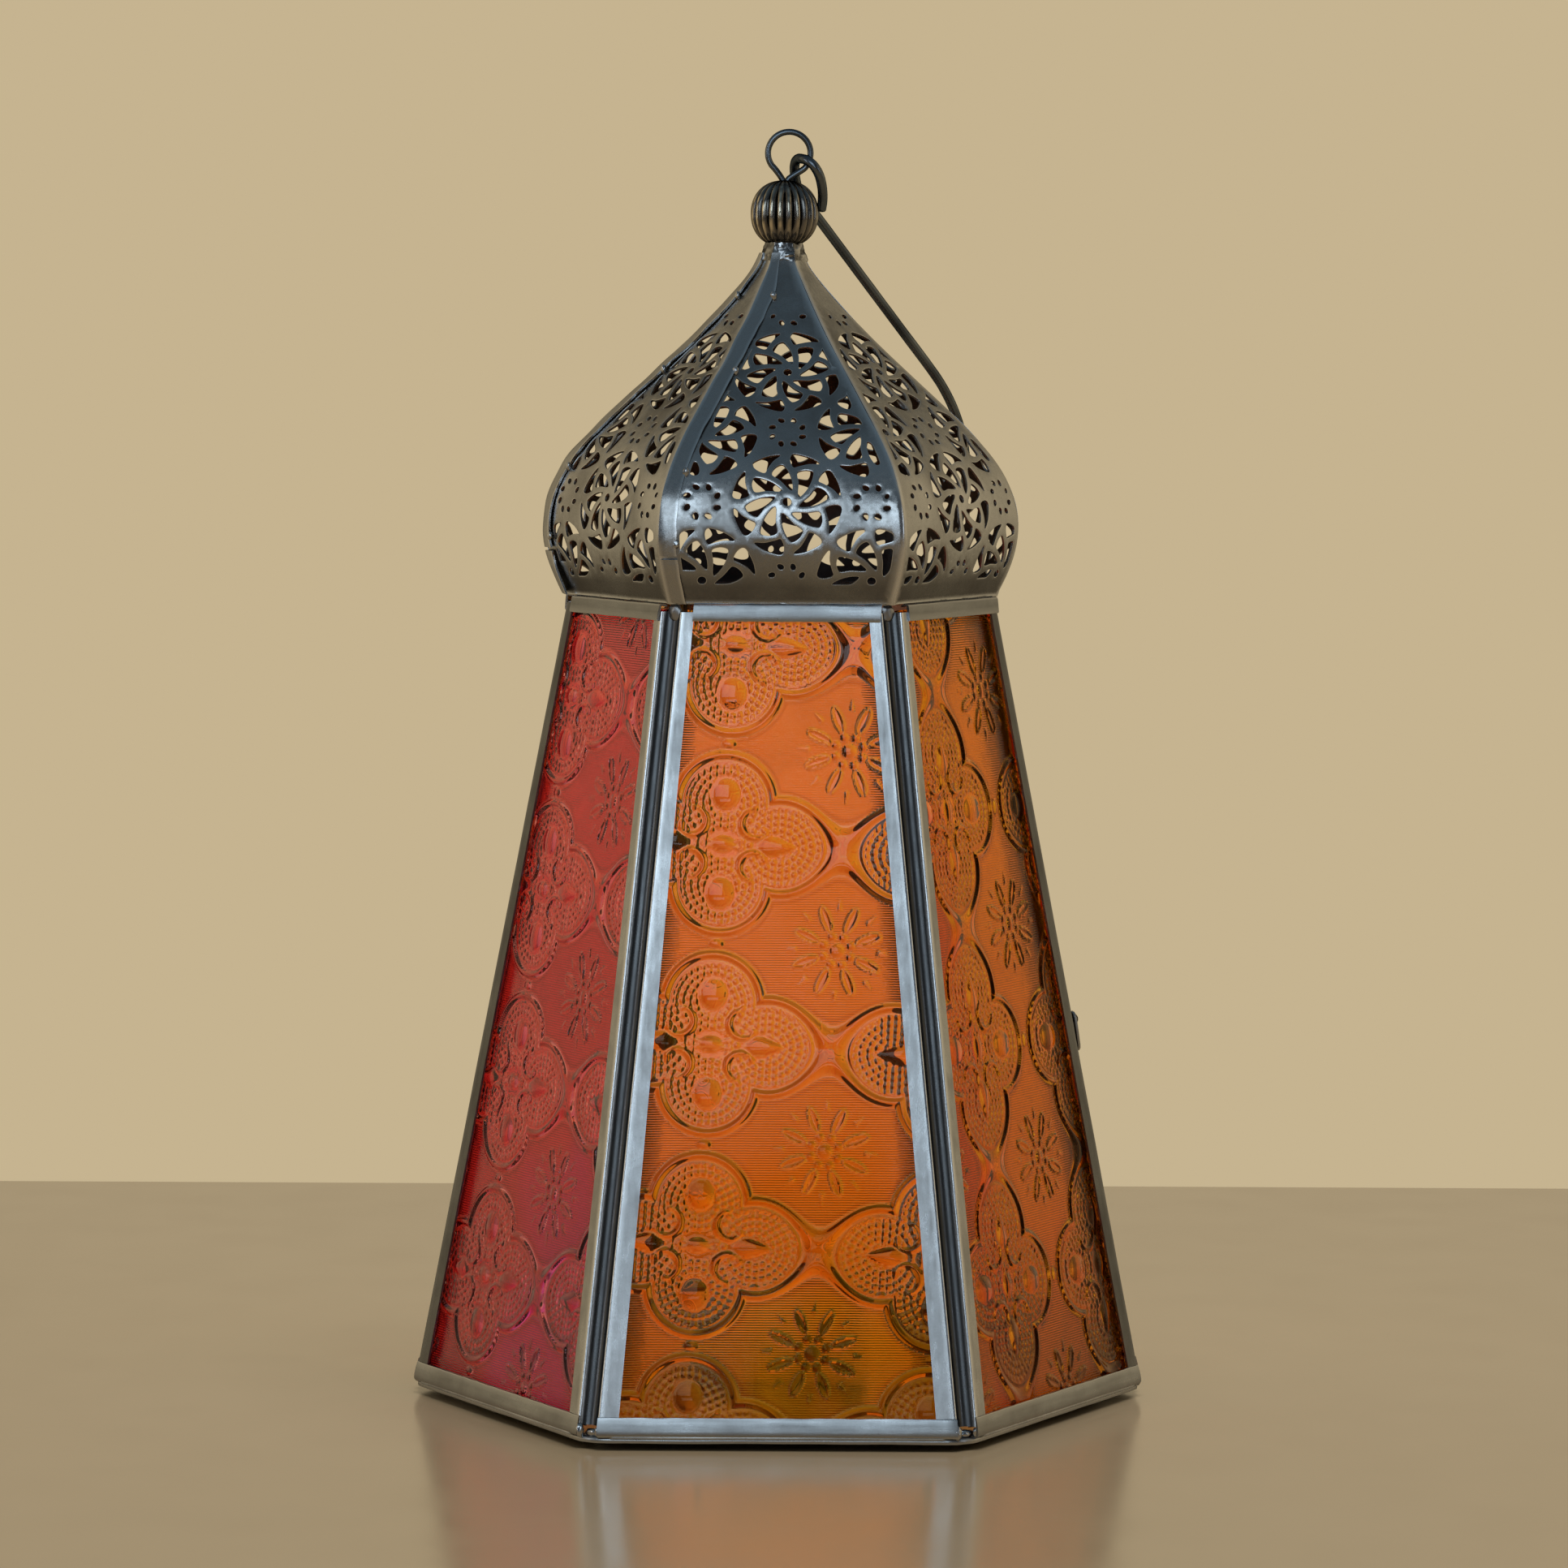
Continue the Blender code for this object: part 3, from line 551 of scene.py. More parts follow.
# Millimetres and degrees about the pinwheel's centre.
BLADE = [(3.3, -7), (3.2, 6), (4.2, 22), (5.8, 33), (7.7, 43), (8.6, 41.5), (9.6, 33),
         (10.1, 24), (9.5, 19.5), (7.6, 12), (5.4, 3)]
LEAF = [(12.9, -1), (12.4, 0.5), (11.4, 9), (9.8, 21), (9.3, 26), (9.8, 30), (11.3, 33),
        (12.7, 32.5), (13.3, 28), (13.2, 14), (13.1, 4)]
EGG_AT = 3.95                    # the rosette's eggs round their centre, in millimetres
PATTERN_FOOT = 0.0052            # arc length where the pierced pattern starts
PLAIN_MARGIN = 0.0026            # unpierced strip along a petal's side
SEAM_MARGIN = 0.0048             # the same under a lapped seam
CORNER_GAP = 0.00016             # closer corners of a hole become one


def pinwheel():
    shapes = [smooth_loop(polar([(1.08, 45 * k) for k in range(8)]), 2)]
    for k in range(8):
        shapes.append(smooth_loop(polar([(r, a + 29 + 45 * k) for r, a in BLADE]), 3))
        shapes.append(smooth_loop(polar([(r, a + 8.5 + 45 * k) for r, a in LEAF]), 3))
    return shapes


def rosette():
    shapes = []
    for k in range(8):
        a = math.radians(22.5 + 45 * k)
        lean = a + math.radians(35)
        ring = []
        for q in range(10):
            b = 2 * math.pi * q / 10
            x = 0.95 * math.cos(b)
            y = (0.72 - 0.10 * math.cos(b)) * math.sin(b)
            ring.append((EGG_AT * math.cos(a) + x * math.cos(lean) - y * math.sin(lean),
                         EGG_AT * math.sin(a) + x * math.sin(lean) + y * math.cos(lean)))
        shapes.append(np.array(ring))
    return shapes


def motif_loops():
    """Every hole of the endless pattern near one petal, in metres."""
    loops = []
    for i in range(-3, 4):
        for j in range(-2, 5):
            middle = np.array((PIN_AT[0] + i * PITCH_U, PIN_AT[1] + j * PITCH_S))
            shapes = pinwheel() if (i + j) % 2 == 0 else rosette()
            loops += [middle + shape * MM * (0.97, 0.955) for shape in shapes]
    return loops


def loop_area(loop):
    x, y = loop[:, 0], loop[:, 1]
    return 0.5 * float(np.sum(x * np.roll(y, -1) - np.roll(x, -1) * y))


def clipped(loop, low_margin):
    """The hole kept clear of the petal's plain margins, or None if little is left."""
    whole = abs(loop_area(loop))
    s = np.clip(loop[:, 1], PATTERN_FOOT, PATTERN_TOP)
    half = dome_half(s)
    u = np.clip(loop[:, 0], -half + low_margin, half - PLAIN_MARGIN)
    keep = []
    for p in np.stack([u, s], -1):
        if not keep or np.hypot(*(p - keep[-1])) > CORNER_GAP:
            keep.append(p)
    if len(keep) > 3 and np.hypot(*(keep[0] - keep[-1])) < CORNER_GAP:
        keep.pop()
    if len(keep) < 5:
        return None
    cut = np.array(keep)
    area = abs(loop_area(cut))
    if area < 0.45e-6 or area < 0.16 * whole:
        return None
    if area < 0.97 * whole:
        for _ in range(2):
            cut = (np.roll(cut, 1, 0) + 2 * cut + np.roll(cut, -1, 0)) / 4
    return cut


def inside(points, loop):
    """Which points lie inside a closed loop."""
    x, y = points[:, 0], points[:, 1]
    hit = np.zeros(len(points), bool)
    for (x1, y1), (x2, y2) in zip(loop, np.roll(loop, -1, 0)):
        crosses = (y1 > y) != (y2 > y)
        where = x1 + (y - y1) * (x2 - x1) / (y2 - y1 + 1e-15)
        hit ^= crosses & (x < where)
    return hit


def near_box(points, loop, margin=0.0):
    """Numbers of the points within a margin of the loop's own box."""
    low, high = loop.min(0) - margin, loop.max(0) + margin
    return np.where(((points > low) & (points < high)).all(1))[0]


def gap_to(points, loop):
    """Distance from each point to the loop's nearest corner."""
    across = points[:, None, 0] - loop[None, :, 0]
    return np.hypot(across, points[:, None, 1] - loop[None, :, 1]).min(1)


RING_STEP = 0.0016               # spacing of the points down a petal's sides
FILL_STEP = 0.0015               # spacing of the points over its plain parts
FILL_MARGIN = 0.0018
LIP_ROWS = (0.0003, 0.0006, 0.0009, 0.0013)
HOLE_BORDER = 0.00019            # width of the ring of triangles round a hole
HOLE_CLEAR = 0.00042             # no fill point comes closer to a hole


def fill_points(s_line):
    """Points on the crease lines and over the plain parts, which keep the bent sheet smooth."""
    fill = []
    for s in s_line[1:-1]:
        h = float(dome_half(s))
        run = min(CREASE, 2 * h * 0.25) * TAN30
        for part in (0.12, 0.45, 0.75, 1.0):
            fill += [(h - run * part, s), (-h + run * part, s)]
    for j, s in enumerate(np.arange(FILL_STEP, DOME_ARC, FILL_STEP)):
        h = float(dome_half(s)) - FILL_MARGIN
        for u in np.arange(-h, h, FILL_STEP):
            fill.append((u + (j % 2) * FILL_STEP / 2, s))
    for s in LIP_ROWS:
        h = float(dome_half(s)) - FILL_MARGIN
        fill += [(u, s) for u in np.linspace(-h, h, 40)]
    return np.array(fill)


def petal_sheet(low_margin):
    """Flat triangulated petal with its holes: points (u, s), triangles, hole loops."""
    s_line = np.linspace(0.0, DOME_ARC, int(DOME_ARC / RING_STEP))
    half = dome_half(s_line)
    border = list(zip(half, s_line)) + list(zip(-half[::-1], s_line[::-1]))
    holes = [h for h in (clipped(loop, low_margin) for loop in motif_loops()) if h is not None]
    points = []
    edges = []

    def add_ring(ring):
        start = len(points)
        points.extend(Vector(p) for p in ring)
        edges.extend((start + i, start + (i + 1) % len(ring)) for i in range(len(ring)))

    add_ring(border)
    for loop in holes:
        if loop_area(loop) < 0:
            loop = loop[::-1]
        tangent = np.roll(loop, -1, 0) - np.roll(loop, 1, 0)
        tangent /= np.maximum(np.hypot(tangent[:, 0], tangent[:, 1]), 1e-9)[:, None]
        outward = np.stack([tangent[:, 1], -tangent[:, 0]], -1)
        add_ring(loop)
        add_ring(loop + outward * HOLE_BORDER)
    fill = fill_points(s_line)
    keep = np.ones(len(fill), bool)
    for loop in holes:
        near = near_box(fill, loop, 0.0006)
        keep[near[(gap_to(fill[near], loop) < HOLE_CLEAR) | inside(fill[near], loop)]] = False
    points += [Vector(p) for p in fill[keep]]
    verts, _, faces, *_ = delaunay_2d_cdt(points, edges, [], 0, 1e-7)
    verts = np.array([(v.x, v.y) for v in verts])
    faces = np.array([f for f in faces if len(f) == 3])
    centre = verts[faces].mean(1)
    drop = np.abs(centre[:, 0]) > dome_half(centre[:, 1]) + 1e-9
    for loop in holes:
        near = near_box(centre, loop)
        drop[near[inside(centre[near], loop)]] = True
    return verts, faces[~drop], holes


def hole_distance(verts, holes):
    """Distance from each point to the nearest hole edge, up to 1 mm."""
    far = np.full(len(verts), MM)
    for loop in holes:
        near = near_box(verts, loop, MM)
        far[near] = np.minimum(far[near], gap_to(verts[near], loop))
    return far


def build_petals():
    made = {}
    for angle, name in FACES.items():
        seamed = (angle - 30) in SEAM_CORNERS
        if seamed not in made:
            flat, tris, holes = petal_sheet(SEAM_MARGIN if seamed else PLAIN_MARGIN)
            made[seamed] = (flat, tris, hole_distance(flat, holes))
        flat, tris, gap = made[seamed]
        u, s = flat[:, 0], flat[:, 1]
        dent = -0.00007 * np.clip(1 - gap / 0.00017, 0, 1)
        wave = np.array([wobble(a * 70, b * 70, angle * 0.37) for a, b in flat]) * 0.00022
        lip = 0.00035 * np.clip(1 - s / 0.0009, 0, 1)
        outer = dome_points(u, s, dent + wave + lip)
        inner = dome_points(u, s, dent * 0.2 + wave + lip - SHEET)
        verts = np.concatenate([outer, inner]) @ rotation(angle)
        n = len(flat)
        # A boundary edge belongs to one triangle only.
        sides = np.concatenate([tris[:, [0, 1]], tris[:, [1, 2]], tris[:, [2, 0]]])
        _, index, count = np.unique(np.sort(sides, 1), axis=0, return_index=True,
                                    return_counts=True)
        rim = sides[index[count == 1]]
        # The petal faces +X with u along +Y and s up, so counter-clockwise (u, s) looks outwards.
        faces = [tuple(t) for t in tris] + [tuple(t[::-1]) for t in tris + n]
        faces += [(b, a, a + n, b + n) for a, b in rim]
        indices = [0] * len(tris) + [2] * len(tris) + [1] * len(rim)
        # Creases are worn and carry a painted highlight; the belly gets a painted sheen.
        crease = np.clip(1 - (dome_half(s) - np.abs(u)) / 0.0019, 0, 1)
        belly_sheen = 0.60 * np.exp(-((s - 0.026) / 0.013) ** 2) * np.clip(0.7 + wave / 0.00022, 0.2, 1)
        low = np.clip(1 - s / 0.0010, 0, 1)
        wear_and_sheen = np.maximum.reduce([crease, low, np.clip(1 - gap / 0.00015, 0, 1) * 0.8, belly_sheen])
        # Darker towards the petal's foot.
        grime_and_shade = np.clip((0.0090 - s) / 0.0045, 0, 1) * (1 - low) * (1 - crease) * 0.50
        new_piece("petal_" + name, verts, faces, [DOME, ZINC_CUT, DOME_INSIDE],
                  ("dome_petal_" + name,), {"wear_and_sheen": np.concatenate([wear_and_sheen, wear_and_sheen * 0.1]),
                                            "grime_and_shade": np.concatenate([grime_and_shade, grime_and_shade])},
                  sharp=38, indices=indices)


STRIP_COLUMNS = 6
STRIP_THICK = 0.0005


def strip(name, degrees, s_values, u_of, lift_of, replaces=()):
    """A bent strip lying on a petal; u_of and lift_of give its edges and its stand-off."""
    rows, columns = len(s_values), STRIP_COLUMNS
    outer = []
    inner = []
    for s in s_values:
        low, high = u_of(s)
        for c in range(columns):
            t = c / (columns - 1)
            u = low + (high - low) * t
            lift = lift_of(s, t)
            outer.append(dome_point(u, s, lift))
            inner.append(dome_point(u, s, lift - STRIP_THICK))
    verts = np.array(outer + inner) @ rotation(degrees)
    n = rows * columns
    top = grid_faces(rows, columns)
    faces = top + [tuple(i + n for i in reversed(f)) for f in top]
    ring = list(range(columns)) + [columns * (r + 1) - 1 for r in range(1, rows)]
    ring += [n - 1 - c for c in range(1, columns)] + [columns * r for r in range(rows - 2, 0, -1)]
    faces += [(b, a, a + n, b + n) for a, b in zip(ring, ring[1:] + ring[:1])]
    wear_and_sheen = [0.9] + [0.25] * (columns - 2) + [0.9]
    new_piece(name, verts, faces, [DOME], replaces, {"wear_and_sheen": wear_and_sheen * rows * 2}, sharp=45)


SEAM_WIDTH = 0.0040
SEAM_BLOBS = (0.0150, 0.0320, 0.0625, 0.0860)


def build_seams():
    """Lapped strips of the dome's two soldered seams, each with a cut flap at its foot."""
    for corner in SEAM_CORNERS:
        name = CORNERS[corner]

        def across(s):
            half = float(dome_half(s))
            ragged = 0.00025 * wobble(s * 260, corner, 0)
            return -half + 0.0001, -half + min(SEAM_WIDTH, half * 0.7) + ragged

        def lie(s, t):
            return 0.00070 + 0.00042 * wobble(s * 130, t * 0.8, corner) + 0.00012 * t

        def flap(s, t):
            return 0.00075 + 0.0010 * t * (1 - s / 0.0125) + 0.0002 * wobble(s * 200, t, 3)

        strip("seam_" + name, corner + 30, np.linspace(0.0122, DOME_ARC - 0.0004, 64), across, lie,
              ("dome_seam_" + name,))
        strip("seam_flap_" + name, corner + 30, np.linspace(0.0008, 0.0114, 12), across, flap)
        turn = Matrix.Rotation(math.radians(corner + 30), 4, "Z")
        for i, s in enumerate(SEAM_BLOBS):
            half = float(dome_half(s))
            u = -half + min(SEAM_WIDTH, half * 0.7)
            place = turn @ Vector(dome_point(u, s, 0.0006))
            blob(f"solder_seam_{name}_{i}", place, (0.0006, 0.0008, 0.0011), turn, corner + i)


# ---------------------------------------------------------------- body: posts and rails
def post_outline(height):
    """Half outline of a post's outer skin from flange edge to groove floor, corner on +X."""
    radius = corner_radius(height)
    along = Vector((-0.5, COS30))
    corner = Vector((radius, 0))
    ridge = corner + along * RIDGE_FROM_CORNER
    edge = corner + along * flange_end(height / math.cos(LEAN))
    groove_r = (ridge.y ** 2 + GROOVE_DEPTH ** 2) / (2 * GROOVE_DEPTH)
    centre = Vector((ridge.x - GROOVE_DEPTH + groove_r, 0))
    start = math.atan2(ridge.y, centre.x - ridge.x)
    # The ridge is a rolled bead between the flange and the groove.
    a = ridge + along * 0.0009
    b = ridge + Vector((0.00012, 0.00004))
    groove = []
    for i in range(9):
        angle = start * 0.74 * (1 - i / 8)
        groove.append(centre + Vector((-math.cos(angle), math.sin(angle))) * groove_r)
    path = [edge.lerp(a, t) for t in (0.0, 0.02, 0.25, 0.5, 0.75)]
    for t in (0.0, 0.25, 0.5, 0.75, 1.0):
        path.append(a * (1 - t) ** 2 + b * 2 * t * (1 - t) + groove[0] * t * t)
    return path + groove[1:]


# Wear on the flange edge and, with a painted highlight, on the ridge bead; painted shade down the
# groove.
POST_WEAR_AND_SHEEN = {0: 0.6, 5: 0.5, 6: 1.0, 7: 1.0, 8: 0.9, 9: 0.4}    # by point of the half outline
POST_GRIME_AND_SHADE = {9: 0.60, 10: 0.90}


def build_posts():
    """Folded corner posts with worn ridges carrying a painted highlight and painted shade in their
    grooves; the two seen edge-on get painted shade and less wear.
    """
    for angle, name in CORNERS.items():
        rings = []
        for h in np.linspace(POST_BOTTOM, BODY_HEIGHT - POST_TOP, 40):
            half = post_outline(h)
            outer = half + [Vector((p.x, -p.y)) for p in reversed(half[:-1])]
            last = len(outer) - 1
            inner = []
            for i, p in enumerate(outer):
                t = (outer[min(i + 1, last)] - outer[max(i - 1, 0)]).normalized()
                inner.append(p + Vector((-t.y, t.x)) * -SHEET * 0.9)
            if (inner[len(inner) // 2] - outer[len(outer) // 2]).x > 0:
                inner = [p * 2 - q for p, q in zip(outer, inner)]
            bend = 0.00006 * wobble(h * 60, angle, 0)
            rings.append([(p.x + bend, p.y, BODY_Z + h) for p in outer + inner[::-1]])
        edge_on = angle in (0, 180)
        # Flanges seen edge-on get painted shade and less wear and sheen.
        rubbed = 0.15 if edge_on else 1.0
        edge_on_shade = 0.72 if edge_on else 0.0
        depth = [min(i, last - i) for i in range(last + 1)]
        wear_and_sheen = [POST_WEAR_AND_SHEEN.get(k, 0.0) * rubbed for k in depth] + [0.0] * len(depth)
        # Painted shade down the groove and over the inside.
        grime_and_shade = [POST_GRIME_AND_SHADE.get(k, 0.86 if k > 10 else edge_on_shade) for k in depth]
        grime_and_shade += [0.7] * len(depth)
        verts = np.concatenate(rings) @ rotation(angle)
        faces = loft_faces(len(rings), len(rings[0]), flip=True)
        obj = new_piece("post_skin_" + name, verts, faces, [ZINC], ("post_" + name,),
                        {"wear_and_sheen": wear_and_sheen * len(rings), "grime_and_shade": grime_and_shade * len(rings)}, sharp=42)
        face_outwards(obj)


def band(edge, angle, count, profile, point):
    """Folded strip along a face. The profile's points are (v, w, wear, grime and painted shade),
    and point places one of them at a part t of the strip's length."""
    name = FACES[angle]
    place = face_frame(angle)
    verts = [place @ Vector(point(i / count, v, w)) for i in range(count + 1)
             for v, w, _, _ in profile]
    layers = {"wear_and_sheen": [p[2] for p in profile] * (count + 1),
              "grime_and_shade": [p[3] for p in profile] * (count + 1)}
    obj = new_piece(f"{edge}_band_{name}", verts, loft_faces(count + 1, len(profile)), [ZINC_BAND],
                    (f"rail_{edge}_{name}",), layers, sharp=40)
    face_outwards(obj)


def build_bottom_rails():
    """Folded strips round the foot: flat band, rolled lower fold, blunt ends at the ridges."""
    for angle in FACES:
        top = RAIL_BOTTOM_HEIGHT - 0.0002 if angle == DOOR_FACE else 0.0033
        # The underside and the back of the fold carry painted shade.
        profile = [(top, 0.00008, 0.5, 0.0), (top - 0.0001, 0.00026, 0.8, 0.0),
                   (top - 0.0004, 0.00034, 0.3, 0.0), (top * 0.5, 0.00045, 0.0, 0.0),
                   (0.0002, 0.00050, 0.0, 0.0), (-0.0007, 0.00046, 0.1, 0.0),
                   (-0.00115, 0.00030, 0.7, 0.1), (-0.00145, -0.0001, 0.5, 0.5),
                   (-0.00170, -0.0008, 0.0, 0.7), (-0.00180, -0.0020, 0.0, 0.7),
                   (-0.0014, -0.0020, 0.0, 0.7), (-0.0012, -0.0008, 0.0, 0.5),
                   (-0.0008, -0.0002, 0.0, 0.5), (-0.0003, 0.0, 0.0, 0.5),
                   (top, -0.00008, 0.0, 0.5)]

        def point(t, v, w):
            t = 2 * t - 1
            reach = half_side(v) - RIDGE_FROM_CORNER - 0.0001 - 0.4 * max(0.0, -0.0005 - v)
            ripple = 0.00010 * wobble(t * 14, angle, v * 400)
            dent = -0.00012 * max(0.0, 1 - (1 - abs(t)) / 0.03)
            return reach * t, v + ripple, w + ripple * 0.5 + dent

        band("bottom", angle, 56, profile, point)


def build_top_rails():
    """Top strips: butted against one flange, lapped over the other out to its ridge."""
    low = PANEL_LENGTH - RAIL_TOP_HEIGHT + 0.0004
    high = PANEL_LENGTH + 0.0002
    outline = [(low, -0.0001, 0.3), (low - 0.0001, 0.00028, 0.8), (low + 0.0002, 0.00046, 0.4),
               (low + 0.0018, 0.00050, 0.0), (high - 0.0007, 0.00050, 0.1),
               (high - 0.0002, 0.00040, 0.7), (high, 0.0, 0.4), (high, -0.0016, 0.0),
               (high - 0.0004, -0.0016, 0.0), (high - 0.0004, -0.0001, 0.0)]
    for angle, name in FACES.items():
        if angle == DOOR_FACE:
            softened("rail_top_" + name, ZINC_BAND)
            continue

        def point(t, v, w):
            rise = (v - low) / RAIL_TOP_HEIGHT
            left = -(half_side(v) - flange_end(v) + 0.0002)
            right = half_side(v) - RIDGE_FROM_CORNER - 0.0001 - 0.0008 * (1 - rise)
            ripple = 0.00012 * wobble(t * 9, angle, v * 300)
            flap = 0.00025 * max(0.0, (t - 0.93) / 0.07)
            return left + (right - left) * t, v + ripple * 0.6, w + ripple * 0.6 + flap

        # The rails off the front face get painted shade.
        side_shade = 0.0 if angle == 270 else 0.28
        band("top", angle, 40, [(*p, side_shade) for p in outline], point)


def build_base_lip():
    """The base plate's turned-down edge, showing as a thin line under the bands."""
    profile = [(-0.0010, -0.0014), (-0.0006, -0.0016), (-0.00045, -0.0022), (-0.0006, -0.0028),
               (-0.0011, -0.0030), (-0.0015, -0.0026), (-0.0016, -0.0014)]
    count = 240
    verts = []
    for i in range(count):
        a = 2 * math.pi * i / count
        near, hexagon = hexagon_at(a)
        corner = min(CORNER_R_BOTTOM * hexagon,
                     CORNER_R_BOTTOM - 0.0019 + 0.0004 * math.cos(near * 9))
        ripple = 0.00012 * wobble(math.cos(a) * 6, math.sin(a) * 6, 4.0)
        for out, up in profile:
            r = corner + out
            verts.append((r * math.cos(a), r * math.sin(a), BODY_Z + up + ripple))
    faces = grid_faces(count, len(profile), closed=True, ring=True)
    obj = new_piece("base_lip", verts, faces, [ZINC_BAND], (),
                    {"wear_and_sheen": [0.0, 0.2, 0.5, 0.6, 0.2, 0.0, 0.0] * count}, sharp=50)
    face_outwards(obj)


# ---------------------------------------------------------------- pressed glass
GLASS_PITCH = (0.0562, 0.0468)
LOBES = [(0.0, 9.6, 12.6), (0.0, -9.6, 12.6), (13.4, 0.0, 12.4), (-13.4, 0.0, 12.4)]


def bump_line(distance, width):
    """Round ridge of a width about distance 0."""
    t = np.clip(np.abs(distance) / (width / 2), 0, 1)
    return 0.5 + 0.5 * np.cos(np.pi * t)


def dome_bump(x, y, a, b):
    """Rounded lens with half axes a and b."""
    return np.clip(1 - (x / a) ** 2 - (y / b) ** 2, 0, 1)


def line_at(value, where, width):
    """Soft line where a value passes a level."""
    return np.clip(1 - np.abs(value - where) / width, 0, 1)


def medallion(x, y):
    """Relief height in millimetres of a four-lobed medallion about the origin."""
    distance = np.full(x.shape, 1e9)
    lobe_r = np.zeros(x.shape)
    lobe_a = np.zeros(x.shape)
    for cx, cy, radius in LOBES:
        dx, dy = x - cx, y - cy
        stretch = 1.0
        if cx:
            # The side lobes run out to a soft point.
            stretch = 1 - 0.16 * np.clip(np.sign(cx) * dx / radius, 0, 1.2) ** 3
        r = np.hypot(dx * stretch, dy)
        d = r - radius
        nearer = d < distance
        distance = np.where(nearer, d, distance)
        lobe_r = np.where(nearer, r, lobe_r)
        lobe_a = np.where(nearer, np.arctan2(dy, dx), lobe_a)
    shape = 0.56 * bump_line(distance + 1.35, 2.6)
    shape = np.maximum(shape, 0.22 * bump_line(distance + 3.15, 1.0))
    # shade marks where painted shade goes, lines where painted highlight lines go.
    shade = 0.8 * np.maximum(line_at(distance, 0.55, 0.50), line_at(distance, -1.95, 0.45))
    shade = np.maximum(shade, 0.7 * line_at(distance, -3.05, 0.4))
    lines = np.maximum(line_at(distance, -0.15, 0.42), line_at(distance, -2.55, 0.42))
    lines = np.maximum(lines, 0.7 * line_at(distance, -3.6, 0.35))
    # Bosses up and down, pointed drops at the sides, scrolls between them and a centre bead.
    clear = np.hypot(x, y * 1.25) < 4.4
    for sign in (-1, 1):
        boss_y = y - sign * 11.6
        drop_x = sign * x - 12.6
        drop_y = y / (1 - 0.55 * np.clip(drop_x / 4.8, -0.4, 1))
        for lens, tall, line, shine in (
                (dome_bump(x, boss_y, 3.3, 3.8), 0.55, (0.14, 0.13), (0.42, 0.20)),
                (dome_bump(drop_x, drop_y, 4.9, 2.2), 0.50, (0.16, 0.15), (0.5, 0.25))):
            shape = np.where(lens > 0, np.maximum(0.06, tall * lens), shape)
            lines = np.maximum(lines, line_at(lens, *line))
            shade = np.maximum(shade, 0.7 * line_at(lens, *shine))
        clear |= (x / 4.0) ** 2 + (boss_y / 4.5) ** 2 < 1
        clear |= (drop_x / 5.5) ** 2 + (drop_y / 2.8) ** 2 < 1
    for sx in (-1, 1):
        for sy in (-1, 1):
            px, py = sx * x - 7.4, sy * y - 5.0
            r = np.hypot(px, py)
            a = np.arctan2(py, px)
            swing = np.abs((a - math.radians(-155) + np.pi) % (2 * np.pi) - np.pi)
            width = 2.6 * np.clip(1 - swing / math.radians(118), 0, 1) ** 0.6 + 0.05
            scroll = 0.50 * bump_line((r - 3.3) * 2.4 / width, 2.4)
            on = (swing < math.radians(118)) & (np.abs(r - 3.3) < width / 2)
            shape = np.where(on, np.maximum(scroll, 0.02), shape)
            edge = line_at(np.abs(r - 3.3), width / 2, 0.40) * (swing < math.radians(112))
            lines = np.maximum(lines, edge)
            curl = dome_bump(px - 3.0 * math.cos(-0.6), py - 3.0 * math.sin(-0.6), 0.9, 0.9)
            shape = np.maximum(shape, 0.36 * curl)
    centre = dome_bump(x, y, 2.9, 1.9)
    shape = np.maximum(shape, 0.55 * centre)
    lines = np.maximum(lines, line_at(centre, 0.2, 0.19))
    # Beads in rings that follow the lobes fill what is left.
    pitch = 1.6
    ring = np.floor(lobe_r / pitch)
    middle = (ring + 0.5) * pitch
    count = np.maximum(np.round(2 * np.pi * middle / 1.7), 1)
    phase = lobe_a * count / (2 * np.pi) + ring * 0.5
    along = (phase - np.floor(phase) - 0.5) * 2 * np.pi * middle / count
    bead = dome_bump(along, lobe_r - middle, 0.85, 0.80)
    beaded = (distance < -3.6) & ~clear & (shape < 0.02)
    height = np.where(beaded, np.maximum(shape, 0.25 * bead), shape)
    net = np.where(beaded, np.clip(1 - bead / 0.55, 0, 1), 0.0)
    shade = np.where(beaded, 0.55 * np.clip((bead - 0.35) / 0.3, 0, 1), shade)
    return height, distance, np.where(beaded, net * 0.9, lines), shade


